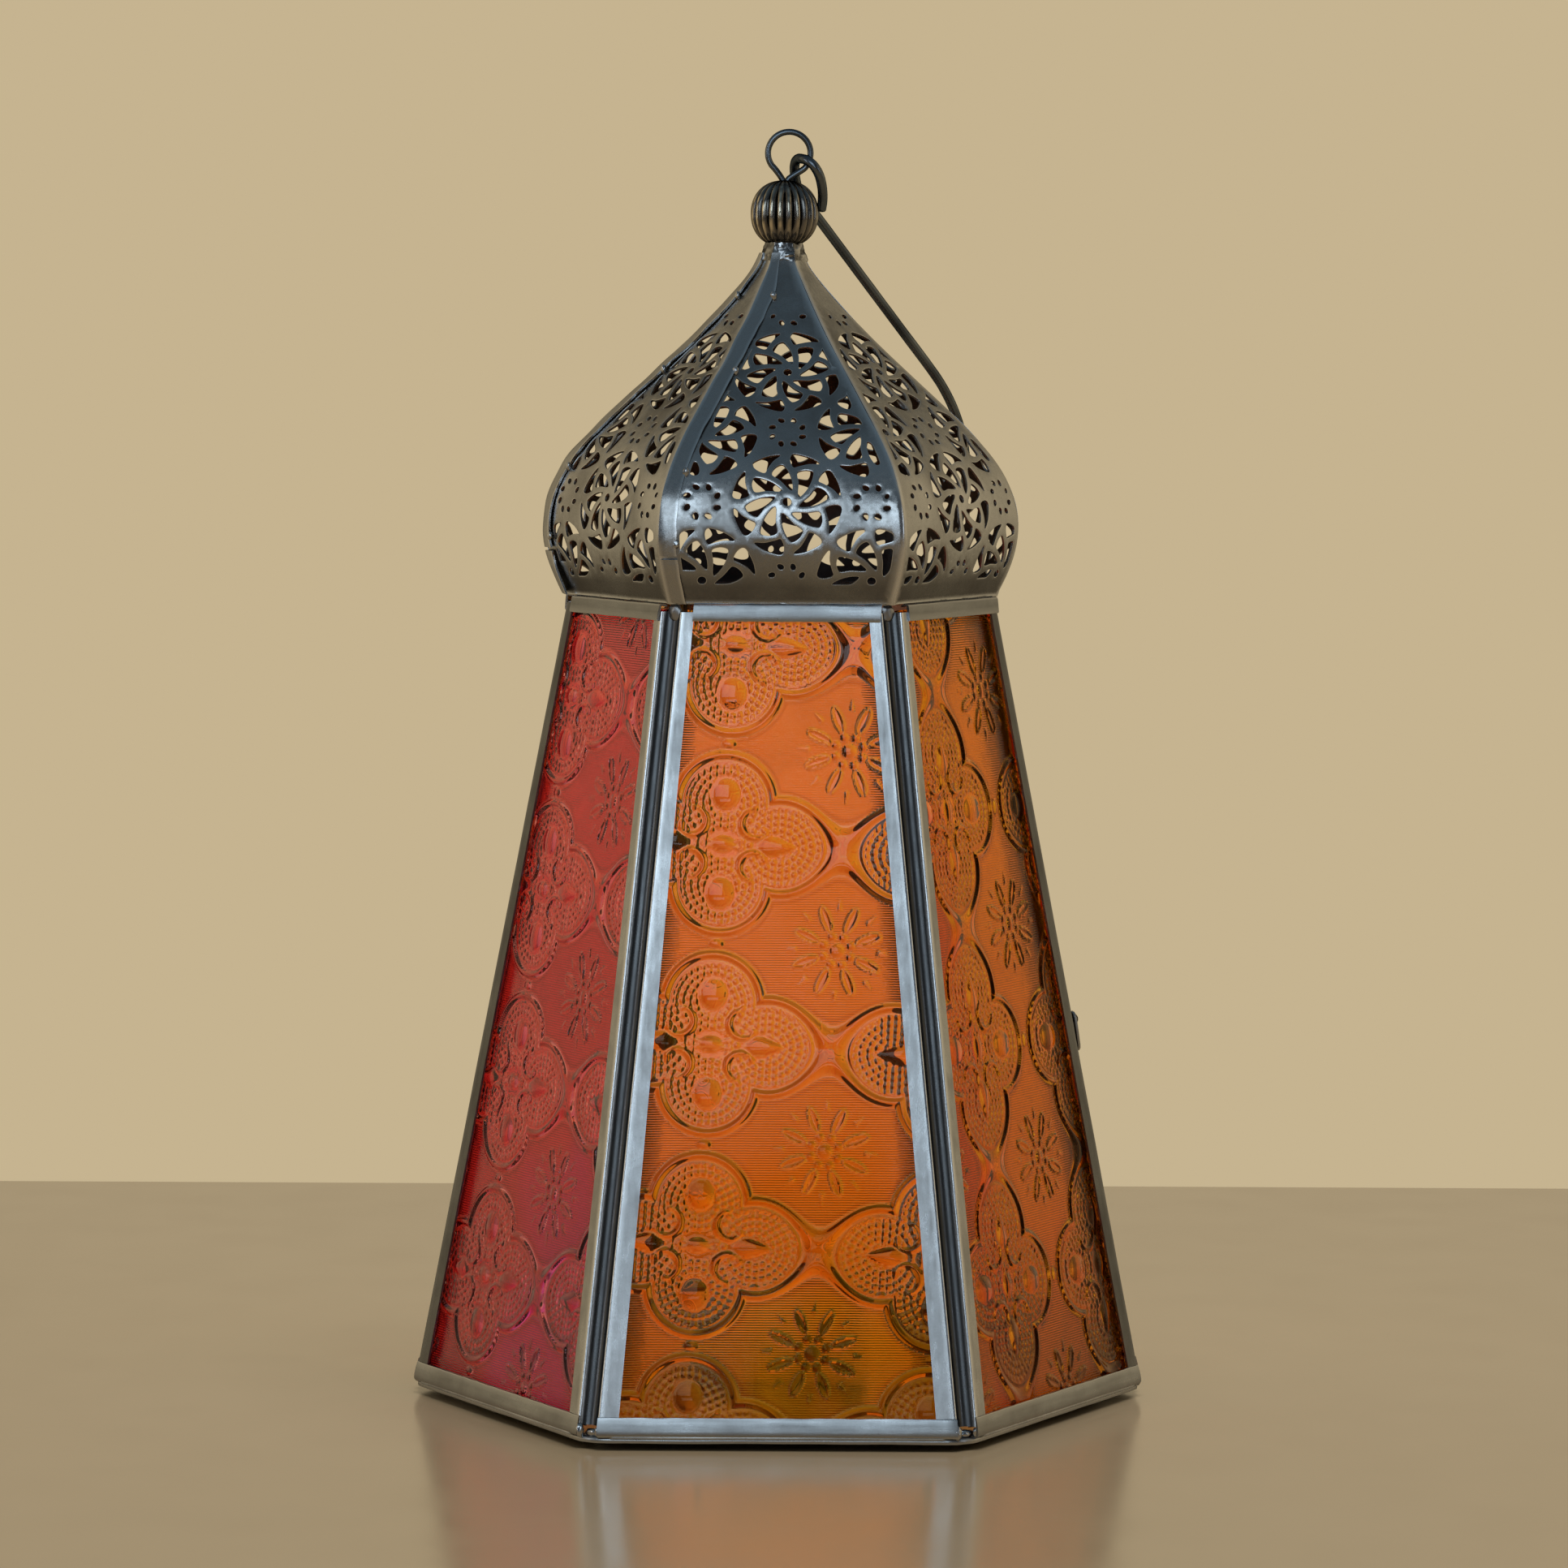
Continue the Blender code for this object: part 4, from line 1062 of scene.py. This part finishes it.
def flower(x, y):
    """Eight-petalled flower with a centre bead, a ring of beads and small darts between."""
    r = np.hypot(x, y)
    a = np.arctan2(y, x)
    bead = dome_bump(x, y, 1.9, 1.9)
    height = 0.40 * bead
    lines = line_at(bead, 0.15, 0.15)
    step = math.pi / 4
    turn = math.radians(22.5)
    local = (a - turn + step / 2) % step - step / 2
    along, across = r * np.cos(local), r * np.sin(local)
    ring = dome_bump(along - 3.45, across, 1.15, 1.15)
    height = np.maximum(height, 0.30 * ring)
    lines = np.maximum(lines, line_at(ring, 0.12, 0.14))
    wide = 1.35 * np.sqrt(np.clip(1 - ((along - 7.8) / 3.2) ** 2, 0, 1))
    on = (np.abs(across) < wide) & (np.abs(along - 7.8) < 3.2)
    rim = np.clip(1 - np.abs(np.abs(across) - wide * 0.74) / 0.40, 0, 1)
    height = np.where(on, np.maximum(height, 0.10 + 0.34 * rim), height)
    near = (np.abs(along - 7.8) < 3.6) & (along > 4.3)
    lines = np.maximum(lines, near * line_at(np.abs(across), wide, 0.40))
    shade = 0.9 * on * line_at(np.abs(across), wide * 0.4, 0.4)
    shade = np.maximum(shade, 0.6 * np.clip((ring - 0.3) / 0.4, 0, 1))
    shade = np.maximum(shade, 0.6 * np.clip((bead - 0.3) / 0.4, 0, 1))
    local = (a + step / 2) % step - step / 2
    along, across = r * np.cos(local), r * np.sin(local)
    breadth = 0.9 * np.clip((12.4 - along) / 3.0, 0, 1) + 1e-6
    dart = np.clip(1 - np.abs(across) / breadth, 0, 1)
    tip = (along > 9.4) & (along < 12.4)
    height = np.where(tip, np.maximum(height, 0.22 * dart), height)
    lines = np.maximum(lines, tip * line_at(dart, 0.2, 0.2))
    return height, lines, shade


def relief(u, v, centre, tilt):
    """Relief height in metres over a pane, with masks of its ribbed field, of its lines for painted
    highlights and of painted shade on crests and gutters.
    """
    c, s = math.cos(math.radians(tilt)), math.sin(math.radians(tilt))
    x = ((u - centre[0]) * c + (v - centre[1]) * s) / MM
    y = (-(u - centre[0]) * s + (v - centre[1]) * c) / MM
    px, py = GLASS_PITCH[0] / MM, GLASS_PITCH[1] / MM
    mx = (x + px / 2) % px - px / 2
    my = (y + py / 2) % py - py / 2
    height, distance, lines, shade = medallion(mx, my)
    fx = x % px - px / 2
    fy = y % py - py / 2
    bloom, bloom_lines, bloom_shade = flower(fx, fy)
    outside = distance > 0
    height = np.where(outside, np.maximum(height, bloom), height)
    lines = np.where(outside, np.maximum(lines, bloom_lines), lines)
    shade = np.where(outside, np.maximum(shade, bloom_shade), shade)
    # Small knots tie each medallion to the next.
    knot = np.maximum(dome_bump(fx, my, 1.9, 1.5), dome_bump(mx, fy, 1.9, 1.2))
    height = np.maximum(height, 0.42 * knot)
    lines = np.maximum(lines, line_at(knot, 0.15, 0.15))
    field = np.where(outside & (bloom < 0.02) & (knot <= 0), 1.0, 0.0)
    return height * MM, field, lines, shade


# Per face: body tints, tints of the painted light and painted shade on the relief, and a patch of
# another tint painted in for colour that shows through the pane.
# The back panes have no gloss colours, so they reflect white.
PANES = {
    270: dict(colour=(1.0, 0.50, 0.110), second=(0.97, 0.43, 0.006), edge=(1.0, 0.60, 0.28),
              light=(1.0, 0.92, 0.06), dark=(0.50, 0.13, 0.004), through_tint=(1.0, 0.78, 0.015),
              gloss=(1.0, 0.95, 0.95), low_gloss=(0.55, 0.35, 0.04),
              patch=(0.006, 0.014, 0.034, 0.024), centre=(-0.0161, 0.0899), tilt=-3.3),
    210: dict(colour=(0.84, 0.064, 0.190), second=(0.62, 0.032, 0.145), edge=(1.0, 0.26, 0.26),
              light=(1.0, 0.46, 0.40), dark=(0.20, 0.010, 0.035), through_tint=(0.72, 0.015, 0.62),
              gloss=(1.0, 0.95, 1.0), low_gloss=(1.0, 0.8, 0.9),
              patch=(0.017, 0.024, 0.024, 0.055), centre=(-0.0173, 0.0749), tilt=-0.3),
    330: dict(colour=(1.0, 0.38, 0.008), second=(0.90, 0.26, 0.008), edge=(0.34, 0.07, 0.01),
              light=(1.0, 0.66, 0.04), dark=(0.40, 0.09, 0.01), through_tint=(0.90, 0.10, 0.04),
              gloss=(0.40, 0.25, 0.03), low_gloss=(0.40, 0.22, 0.05),
              patch=(-0.022, 0.100, 0.010, 0.120), centre=(-0.0131, 0.0870), tilt=88.4),
    90: dict(colour=(1.0, 0.50, 0.46), second=(0.98, 0.44, 0.40), edge=(1.0, 0.66, 0.60),
             light=(1.0, 0.70, 0.60), dark=(0.80, 0.22, 0.16), through_tint=(1.0, 0.40, 0.36),
             patch=(0.010, 0.120, 0.020, 0.030), centre=(0.0100, 0.0800), tilt=3.0),
    150: dict(colour=(0.95, 0.50, 0.16), second=(0.92, 0.44, 0.10), edge=(0.98, 0.66, 0.34),
              light=(1.0, 0.76, 0.30), dark=(0.62, 0.22, 0.03), through_tint=(0.95, 0.40, 0.10),
              patch=(-0.010, 0.100, 0.020, 0.030), centre=(0.0120, 0.0700), tilt=-2.0),
    30: dict(colour=(0.95, 0.60, 0.22), second=(0.92, 0.54, 0.18), edge=(0.99, 0.76, 0.42),
             light=(1.0, 0.86, 0.46), dark=(0.66, 0.34, 0.06), through_tint=(0.95, 0.50, 0.16),
             patch=(0.010, 0.060, 0.020, 0.030), centre=(-0.0100, 0.0900), tilt=2.0),
}
FINE_STEP = 0.00043              # spacing of the points on the three front panes
COARSE_STEP = 0.00055            # and on the three behind
CLOUD_SKIP = 4                   # the noise of the painted see-through patch is taken at every fourth point


def build_panes():
    inset = SHEET + GAP
    for angle, name in FACES.items():
        spec = PANES[angle]
        if angle == DOOR_FACE:
            node, body, slot = "door_pane", "door", "glass_back_right"
            low = RAIL_BOTTOM_HEIGHT + DOOR_FOOT_GAP + inset
            high = PANEL_LENGTH - RAIL_TOP_HEIGHT - DOOR_GAP - inset
        else:
            node, body, slot = "pane_" + name, "lantern", "glass_" + name
            low, high = inset, PANEL_LENGTH - inset
        step = FINE_STEP if angle > 180 else COARSE_STEP
        rows = int((high - low) / step)
        columns = int(2 * half_side(low) / step)
        v = np.linspace(low, high, rows)
        if angle == DOOR_FACE:
            edge = half_side(v) - flange_end(v) - DOOR_GAP - inset
        else:
            edge = half_side(v) - PANE_EDGE
        u = np.outer(edge, np.linspace(-1, 1, columns))
        vv = np.repeat(v[:, None], columns, 1)
        height, field, lines, shade = relief(u, vv, spec["centre"], spec["tilt"])
        base = -PANE_FRONT - PANE_RELIEF
        w = base + height
        w[0, :] = w[-1, :] = base
        w[:, 0] = w[:, -1] = base
        front = np.stack([u, vv, w], -1).reshape(-1, 3)
        back = np.full(rows, -PANE_FRONT - PANE_THICK)
        left = np.stack([-edge, v, back], -1)
        right = np.stack([edge, v, back], -1)
        n = rows * columns
        faces = grid_faces(rows, columns)
        for r in range(rows - 1):
            a, b = n + r, n + r + 1
            c, d = n + rows + r, n + rows + r + 1
            row, above = r * columns, (r + 1) * columns
            faces += [(a, b, d, c), (row, above, b, a),
                      (row + columns - 1, c, d, above + columns - 1)]
        faces.append((*range(columns - 1, -1, -1), n, n + rows))
        faces.append((*range(n - columns, n), n + 2 * rows - 1, n + rows - 1))
        matrix = face_frame(angle)
        turn = np.array(matrix.to_3x3())
        verts = np.concatenate([front, left, right]) @ turn.T + np.array(matrix.translation)
        slope_v = np.gradient(height, float(v[1] - v[0]), axis=0)
        slope_u = np.gradient(height, axis=1) / np.gradient(u, axis=1)
        # Flanks facing up and to the right get painted light, those facing down and to the left
        # painted shade.
        toward = (slope_u * 0.72 + slope_v * 0.62) / 0.24
        # Painted shade on crests, gutters and bead tops.
        crest_shade = np.maximum(shade, 0.4 * np.clip((height / MM - 0.22) / 0.2, 0, 1))
        few_u, few_v = u[::CLOUD_SKIP, ::CLOUD_SKIP], vv[::CLOUD_SKIP, ::CLOUD_SKIP]
        cloud = np.array([wobble(a * 60, b * 34, angle) for a, b in
                          zip(few_u.ravel(), few_v.ravel())]).reshape(few_u.shape)
        cloud = cloud.repeat(CLOUD_SKIP, 0).repeat(CLOUD_SKIP, 1)[:rows, :columns]
        # The patch of painted see-through tint, made ragged by the cloud.
        du, dv, size_u, size_v = spec["patch"]
        reach = 1 - np.hypot((u - du) / size_u, (vv - dv) / size_v)
        # The lines carry painted highlights, dark on the right pane; lit and dim carry painted
        # light and shade.
        layers = {"field": field, "rim": lines, "crest_shade": crest_shade,
                  "lit": np.clip(-toward, 0, 1) ** 1.2, "dim": np.clip(toward, 0, 1) ** 1.2,
                  "through_tint": np.clip(reach * 2.5 + 1.6 * cloud, 0, 1)}
        flat = np.zeros(2 * rows)
        layers = {key: np.concatenate([value.ravel(), flat]) for key, value in layers.items()}
        new_piece("glass_" + name, verts, faces, [pane_glass(name, spec)], (node,), layers,
                  sharp=60, body=body)


# ---------------------------------------------------------------- neck, ball, eye and hook
BALL_CENTRE = (0.0003, 0.28155)
BALL_RADIUS = 0.00815
FLUTES = 22
FLUTE_DEPTH = 0.00100
NECK_LOW, NECK_HIGH = 0.2698, 0.2752


def build_neck():
    """Solder wiped from the petals' tips up into the underside of the ball."""
    rows, count = 26, 96
    verts = []
    wear_and_sheen = []
    for z in np.linspace(NECK_LOW, NECK_HIGH, rows):
        t = (z - NECK_LOW) / (NECK_HIGH - NECK_LOW)
        petal = float(np.interp(z, OGEE_Z, OGEE_R)) if z < 0.2724 else 0.0050
        reach = float(np.interp(z, (NECK_LOW, 0.2706, 0.2716, 0.2733, NECK_HIGH),
                                (petal - 0.0003, petal + 0.00015, 0.0056, 0.00495, 0.0045)))
        edge = 1 - max(0.0, t - 0.1) * 0.9
        for k in range(count):
            a = 2 * math.pi * k / count
            x, y = math.cos(a), math.sin(a)
            shape = hexagon_at(a)[1] * edge + 0.97 * (1 - edge)
            front = 0.5 + 0.5 * math.cos(a - math.radians(300))
            lump = wobble(x * 2.4, y * 2.4, z * 700) + 0.5 * wobble(x * 6, y * 6, z * 1500)
            r = reach * shape + 0.00022 * lump * (0.5 + front)
            verts.append((0.0002 * t + r * x, r * y, BODY_Z + z))
            wear_and_sheen.append(max(0.0, min(1.0, 0.25 + lump * 0.9)) * (0.25 + 0.75 * front))
    obj = new_piece("neck_solder", verts, loft_faces(rows, count), [NECK], ("neck_collar",),
                    {"wear_and_sheen": wear_and_sheen}, sharp=60)
    face_outwards(obj)


def build_ball():
    """Cast ball of rounded ribs, worn golden on their crests with a painted highlight strongest
    towards the front-left, and darkened between them by grime and painted shade.
    """
    columns = FLUTES * 8
    rows = 36
    verts = []
    wear_and_sheen = []
    grime_and_shade = []
    x0, height = BALL_CENTRE
    for r in range(rows + 1):
        lean = math.pi * r / rows
        belt = math.sin(lean) ** 0.9
        rise = math.copysign(abs(math.cos(lean)) ** 0.92, math.cos(lean))
        depth = FLUTE_DEPTH * min(1.0, max(0.15, 1 - (lean - 1.8) / 1.1))
        for c in range(columns):
            a = 2 * math.pi * c / columns
            x, y = math.cos(a), math.sin(a)
            sway = 0.03 * wobble(x * 1.5, y * 1.5, lean)
            rib = abs(math.cos((a + sway) * FLUTES / 2)) ** 0.8
            radius = BALL_RADIUS - depth * (1 - rib) * belt ** 0.7
            verts.append((x0 + radius * belt * x, radius * belt * y,
                          BODY_Z + height + BALL_RADIUS * 0.985 * rise))
            # Crests towards the front-left get a painted highlight on top of their wear.
            front_left_sheen = min(1.0, 0.35 + 0.90 * max(0.0, math.cos(a - math.radians(215))))
            rubbed = min(1.0, max(0.0, 0.45 + 0.9 * wobble(x * 4, y * 4, lean * 5)) * 1.5)
            wear_and_sheen.append(max(0.0, rib - 0.82) / 0.18 * belt ** 2 * rubbed * front_left_sheen)
            # Painted shade with grime in the grooves between the ribs.
            grime_and_shade.append(min(1.0, max(0.0, 1.15 - rib / 0.62)) * 0.9)
    faces = [f[::-1] for f in grid_faces(rows + 1, columns, closed=True)]
    obj = new_piece("ribbed_ball", verts, faces, [BALL], ("fluted_ball",),
                    {"wear_and_sheen": wear_and_sheen, "grime_and_shade": grime_and_shade}, sharp=80)
    face_outwards(obj, join=0.00002)


EYE_CENTRE = (0.00135, 0.2960)
EYE_RADIUS = 0.0051
EYE_WIRE_R = 0.00075
EYE_LEG_ANGLE = 40.5
EYE_FOOT = (0.00045, 0.28995)
EYE_FOOT_HALF = 0.00085
HOOK_WIRE_R = 0.0012
# The crook: cut end beside the ball, over the top, through the eye and down behind it.
CROOK = [(0.0091, 0.0012, 0.2826), (0.0094, 0.0004, 0.2848), (0.0093, -0.0010, 0.2876),
         (0.0086, -0.0024, 0.2906), (0.0073, -0.00305, 0.2929), (0.0057, -0.00245, 0.29425),
         (0.00445, -0.0012, 0.29465), (0.0036, 0.0001, 0.29475), (0.00295, 0.0016, 0.2942),
         (0.00265, 0.0029, 0.2930), (0.0027, 0.0038, 0.2912), (0.0031, 0.0051, 0.2890)]
SHANK_START = (0.0093, 0.0119, 0.2795)
SHANK_DIRECTION = (0.551, 0.425, -0.720)
SHANK_LENGTH = 0.0494
HOOK_RADIUS = 0.0560
HOOK_SWEEP = 163.0
HOOK_STEPS = 26


def build_eye():
    cx, cz = EYE_CENTRE
    fx, fz = EYE_FOOT
    steps = 18
    root = BODY_Z + fz - 0.0012
    points = [(fx - EYE_FOOT_HALF * 0.6, 0, root), (fx - EYE_FOOT_HALF, 0, BODY_Z + fz)]
    for i in range(steps + 1):
        a = math.radians(-90 - EYE_LEG_ANGLE - (360 - 2 * EYE_LEG_ANGLE) * i / steps)
        points.append((cx + EYE_RADIUS * math.cos(a), 0, BODY_Z + cz + EYE_RADIUS * math.sin(a)))
    points += [(fx + EYE_FOOT_HALF, 0, BODY_Z + fz), (fx + EYE_FOOT_HALF * 0.6, 0, root)]
    tube("eye_wire", points, EYE_WIRE_R, "wire_eye")


def build_hook():
    points = [Vector(p) for p in CROOK]
    direction = Vector(SHANK_DIRECTION).normalized()
    start = Vector(SHANK_START)
    end = start + direction * SHANK_LENGTH
    points += [start - direction * 0.0095, start]
    points += [start.lerp(end, t) for t in (0.25, 0.5, 0.75, 1.0)]
    side = Vector((1, 0, 0))
    down = (direction - side * direction.x).normalized()
    normal = (down * direction.x - side * direction.dot(down)).normalized()
    centre = end + normal * HOOK_RADIUS
    for i in range(1, HOOK_STEPS + 1):
        a = math.radians(HOOK_SWEEP) * i / HOOK_STEPS
        points.append(centre - normal * HOOK_RADIUS * math.cos(a)
                      + direction * HOOK_RADIUS * math.sin(a))
    points = [p + Vector((0, 0, BODY_Z)) for p in points]
    tube("hook_wire", points, HOOK_WIRE_R, "hanging_hook", body="hook", sides=16)


# ---------------------------------------------------------------- solder on the body
def build_solder():
    """Solder lumps where the grooves meet the base, and where the rails meet the posts."""
    for angle, name in CORNERS.items():
        turn = Matrix.Rotation(math.radians(angle), 4, "Z")
        seed = angle * 0.1
        for side, big in ((-1, 1.0), (1, 0.6)):
            place = turn @ Vector((CORNER_R_BOTTOM - 0.0019, side * 0.0023, BODY_Z - 0.0002))
            size = (0.0008 * big, 0.0010 * big, 0.0017 * big)
            blob(f"solder_foot_{name}_{side + 1}", place, size, turn, seed + side)
        place = turn @ Vector((CORNER_R_BOTTOM - 0.0032, 0.0004, BODY_Z - 0.0006))
        blob("solder_foot_" + name, place, (0.0010, 0.0019, 0.0010), turn, seed)
        place = turn @ Vector((CORNER_R_TOP - 0.0032, 0.0, BODY_Z + BODY_HEIGHT - 0.0018))
        blob("solder_head_" + name, place, (0.0009, 0.0018, 0.0022), turn, seed * 2 + 5, ZINC_CUT)


# ---------------------------------------------------------------- build everything
def finish_frame_parts():
    """The rest of the CAD nodes keep their shape, the sheet ones with rounded rubbed edges."""
    softened("base_plate", BASE_INSIDE, width=0.00015)
    for name in ("right", "back_left", "front_left"):
        softened("foot_" + name, ZINC_BAND, width=0.0003)
    for name in ("rail_bottom", "rail_top", "stile_hinge_side", "stile_latch_side"):
        softened("door_" + name, ZINC, "door")
    softened("latch_button", ZINC, "latch", 0.00012)
    looks = {"candle_cup": ZINC, "latch_rivet": WIRE}
    for place in ("lower", "upper"):
        looks[f"hinge_{place}_pin"] = WIRE
        looks[f"hinge_{place}_door_leaf"] = looks[f"hinge_{place}_post_leaf"] = ZINC
    for node, mat in looks.items():
        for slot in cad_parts[node].material_slots:
            slot.material = mat


build_petals()
build_seams()
build_posts()
build_bottom_rails()
build_top_rails()
build_base_lip()
build_panes()
build_neck()
build_ball()
build_eye()
build_hook()
build_solder()
finish_frame_parts()

# ---------------------------------------------------------------- floor, light and camera
WALL = (0.565, 0.455, 0.280)
WALL_THROUGH = (0.69, 0.555, 0.34)    # the wall as the glass passes it on
DIM = (0.055, 0.062, 0.070)
CEILING = (0.10, 0.14, 0.17)
BLACK, WHITE = (0.0, 0.0, 0.0), (1.0, 1.0, 1.0)
FLOOR_BACK = 0.350
FLOOR_EDGE = 0.03                # the floor's back edge drops by this
FLOOR_X = 3
FLOOR_FRONT = -3.5


def build_floor():
    s = Shader("pale_floor")
    cloud = s.noise(3.0, 4.0)
    colour = s.mix(s.remap(cloud, 0.3, 0.7), (0.43, 0.335, 0.215), (0.40, 0.31, 0.195))
    s.link(colour, s.bsdf.inputs["Base Color"])
    s.link(s.remap(s.noise(40.0), 0.3, 0.7, 0.16, 0.22), s.bsdf.inputs["Roughness"])
    s.bsdf.inputs["Specular IOR Level"].default_value = 0.3
    mesh = bpy.data.meshes.new("floor")
    mesh.from_pydata([(-FLOOR_X, FLOOR_FRONT, 0), (FLOOR_X, FLOOR_FRONT, 0),
                      (FLOOR_X, FLOOR_BACK, 0), (-FLOOR_X, FLOOR_BACK, 0),
                      (-FLOOR_X, FLOOR_BACK, -FLOOR_EDGE), (FLOOR_X, FLOOR_BACK, -FLOOR_EDGE)],
                     [], [(0, 1, 2, 3), (3, 2, 5, 4)])
    mesh.materials.append(s.mat)
    obj = bpy.data.objects.new("floor", mesh)
    bpy.context.scene.collection.objects.link(obj)
    return obj


def keep_off(floor):
    """These lamps light the lantern only, so the floor mirrors no bright rectangle."""
    group = bpy.data.collections.new("not_lit_by_front_and_sides")
    group.objects.link(floor)
    group.collection_objects[0].light_linking.link_state = "EXCLUDE"
    for name in ("front_softbox", "low_front", "left_strip", "right_strip"):
        bpy.data.objects[name].light_linking.receiver_collection = group


def build_room():
    """Plain wall to look at; gloss sees it behind, a dim room in front and a bluish ceiling."""
    world = bpy.data.worlds.new("room")
    bpy.context.scene.world = world
    world.use_nodes = True
    n = Nodes(world.node_tree)
    split = n.node("ShaderNodeSeparateXYZ")
    n.link(n.node("ShaderNodeTexCoord").outputs["Generated"], split.inputs[0])

    def ramp(axis, *stops):
        made = n.node("ShaderNodeValToRGB")
        n.link(n.math("MULTIPLY_ADD", split.outputs[axis], 0.5, 0.5), made.inputs["Fac"])
        for element, (place, colour) in zip(made.color_ramp.elements, stops):
            element.position = place
            element.color = (*colour, 1)
        return made.outputs["Color"]

    depth = ramp("Y", (0.22, DIM), (0.52, WALL))
    seen = n.mix(ramp("Z", (0.72, BLACK), (0.92, WHITE)), depth, CEILING)
    path = n.node("ShaderNodeLightPath")
    seen = n.mix(path.outputs["Is Camera Ray"], seen, WALL)
    seen = n.mix(path.outputs["Is Transmission Ray"], seen, WALL_THROUGH)
    n.link(seen, n.tree.nodes["Background"].inputs["Color"])


def soft_light(name, place, aim_z, size, colour, power, glossy=True):
    """Rectangular lamp aimed at a height on the lantern's axis; only gloss may show it."""
    data = bpy.data.lights.new(name, "AREA")
    data.shape = "RECTANGLE"
    data.size, data.size_y = size
    data.color = colour
    data.energy = power
    obj = bpy.data.objects.new(name, data)
    obj.location = place
    obj.rotation_euler = (Vector((0, 0, aim_z)) - Vector(place)).to_track_quat("-Z", "Y").to_euler()
    obj.visible_glossy = glossy
    obj.visible_camera = False
    obj.visible_transmission = False
    bpy.context.scene.collection.objects.link(obj)


CAMERA_PLACE = (0, -1.501, BODY_Z + 0.26487)
CAMERA_PITCH = 0.0802            # radians below level
CAMERA_ROLL = 0.0049


def build_camera():
    data = bpy.data.cameras.new("camera")
    data.sensor_width = 36.0
    data.lens = 143.0
    data.shift_x = 0.0022
    data.clip_start = 0.05
    data.clip_end = 50
    obj = bpy.data.objects.new("camera", data)
    pitch = Matrix.Rotation(math.pi / 2 - CAMERA_PITCH, 4, "X")
    roll = Matrix.Rotation(CAMERA_ROLL, 4, "Z")
    obj.matrix_world = Matrix.Translation(CAMERA_PLACE) @ pitch @ roll
    bpy.context.scene.collection.objects.link(obj)
    bpy.context.scene.camera = obj


FLOOR = build_floor()
build_room()
soft_light("front_softbox", (-0.50, -2.5, 1.12), 0.15, (1.7, 1.16), (0.72, 0.88, 1.0), 11.0)
soft_light("low_front", (-0.1, -2.6, 0.22), 0.22, (1.3, 0.24), (0.78, 0.90, 1.0), 1.6)
soft_light("left_strip", (-2.2, -1.25, 0.65), 0.2, (0.40, 1.3), (0.92, 0.95, 1.0), 3.4)
soft_light("right_strip", (2.1, -1.5, 0.65), 0.2, (0.25, 1.3), (0.85, 0.93, 1.0), 1.6)
soft_light("top_softbox", (0.2, -0.3, 2.2), 0.1, (1.2, 1.2), (1.0, 0.95, 0.88), 26.0, glossy=False)
keep_off(FLOOR)
build_camera()
bpy.context.scene.view_settings.view_transform = "Standard"
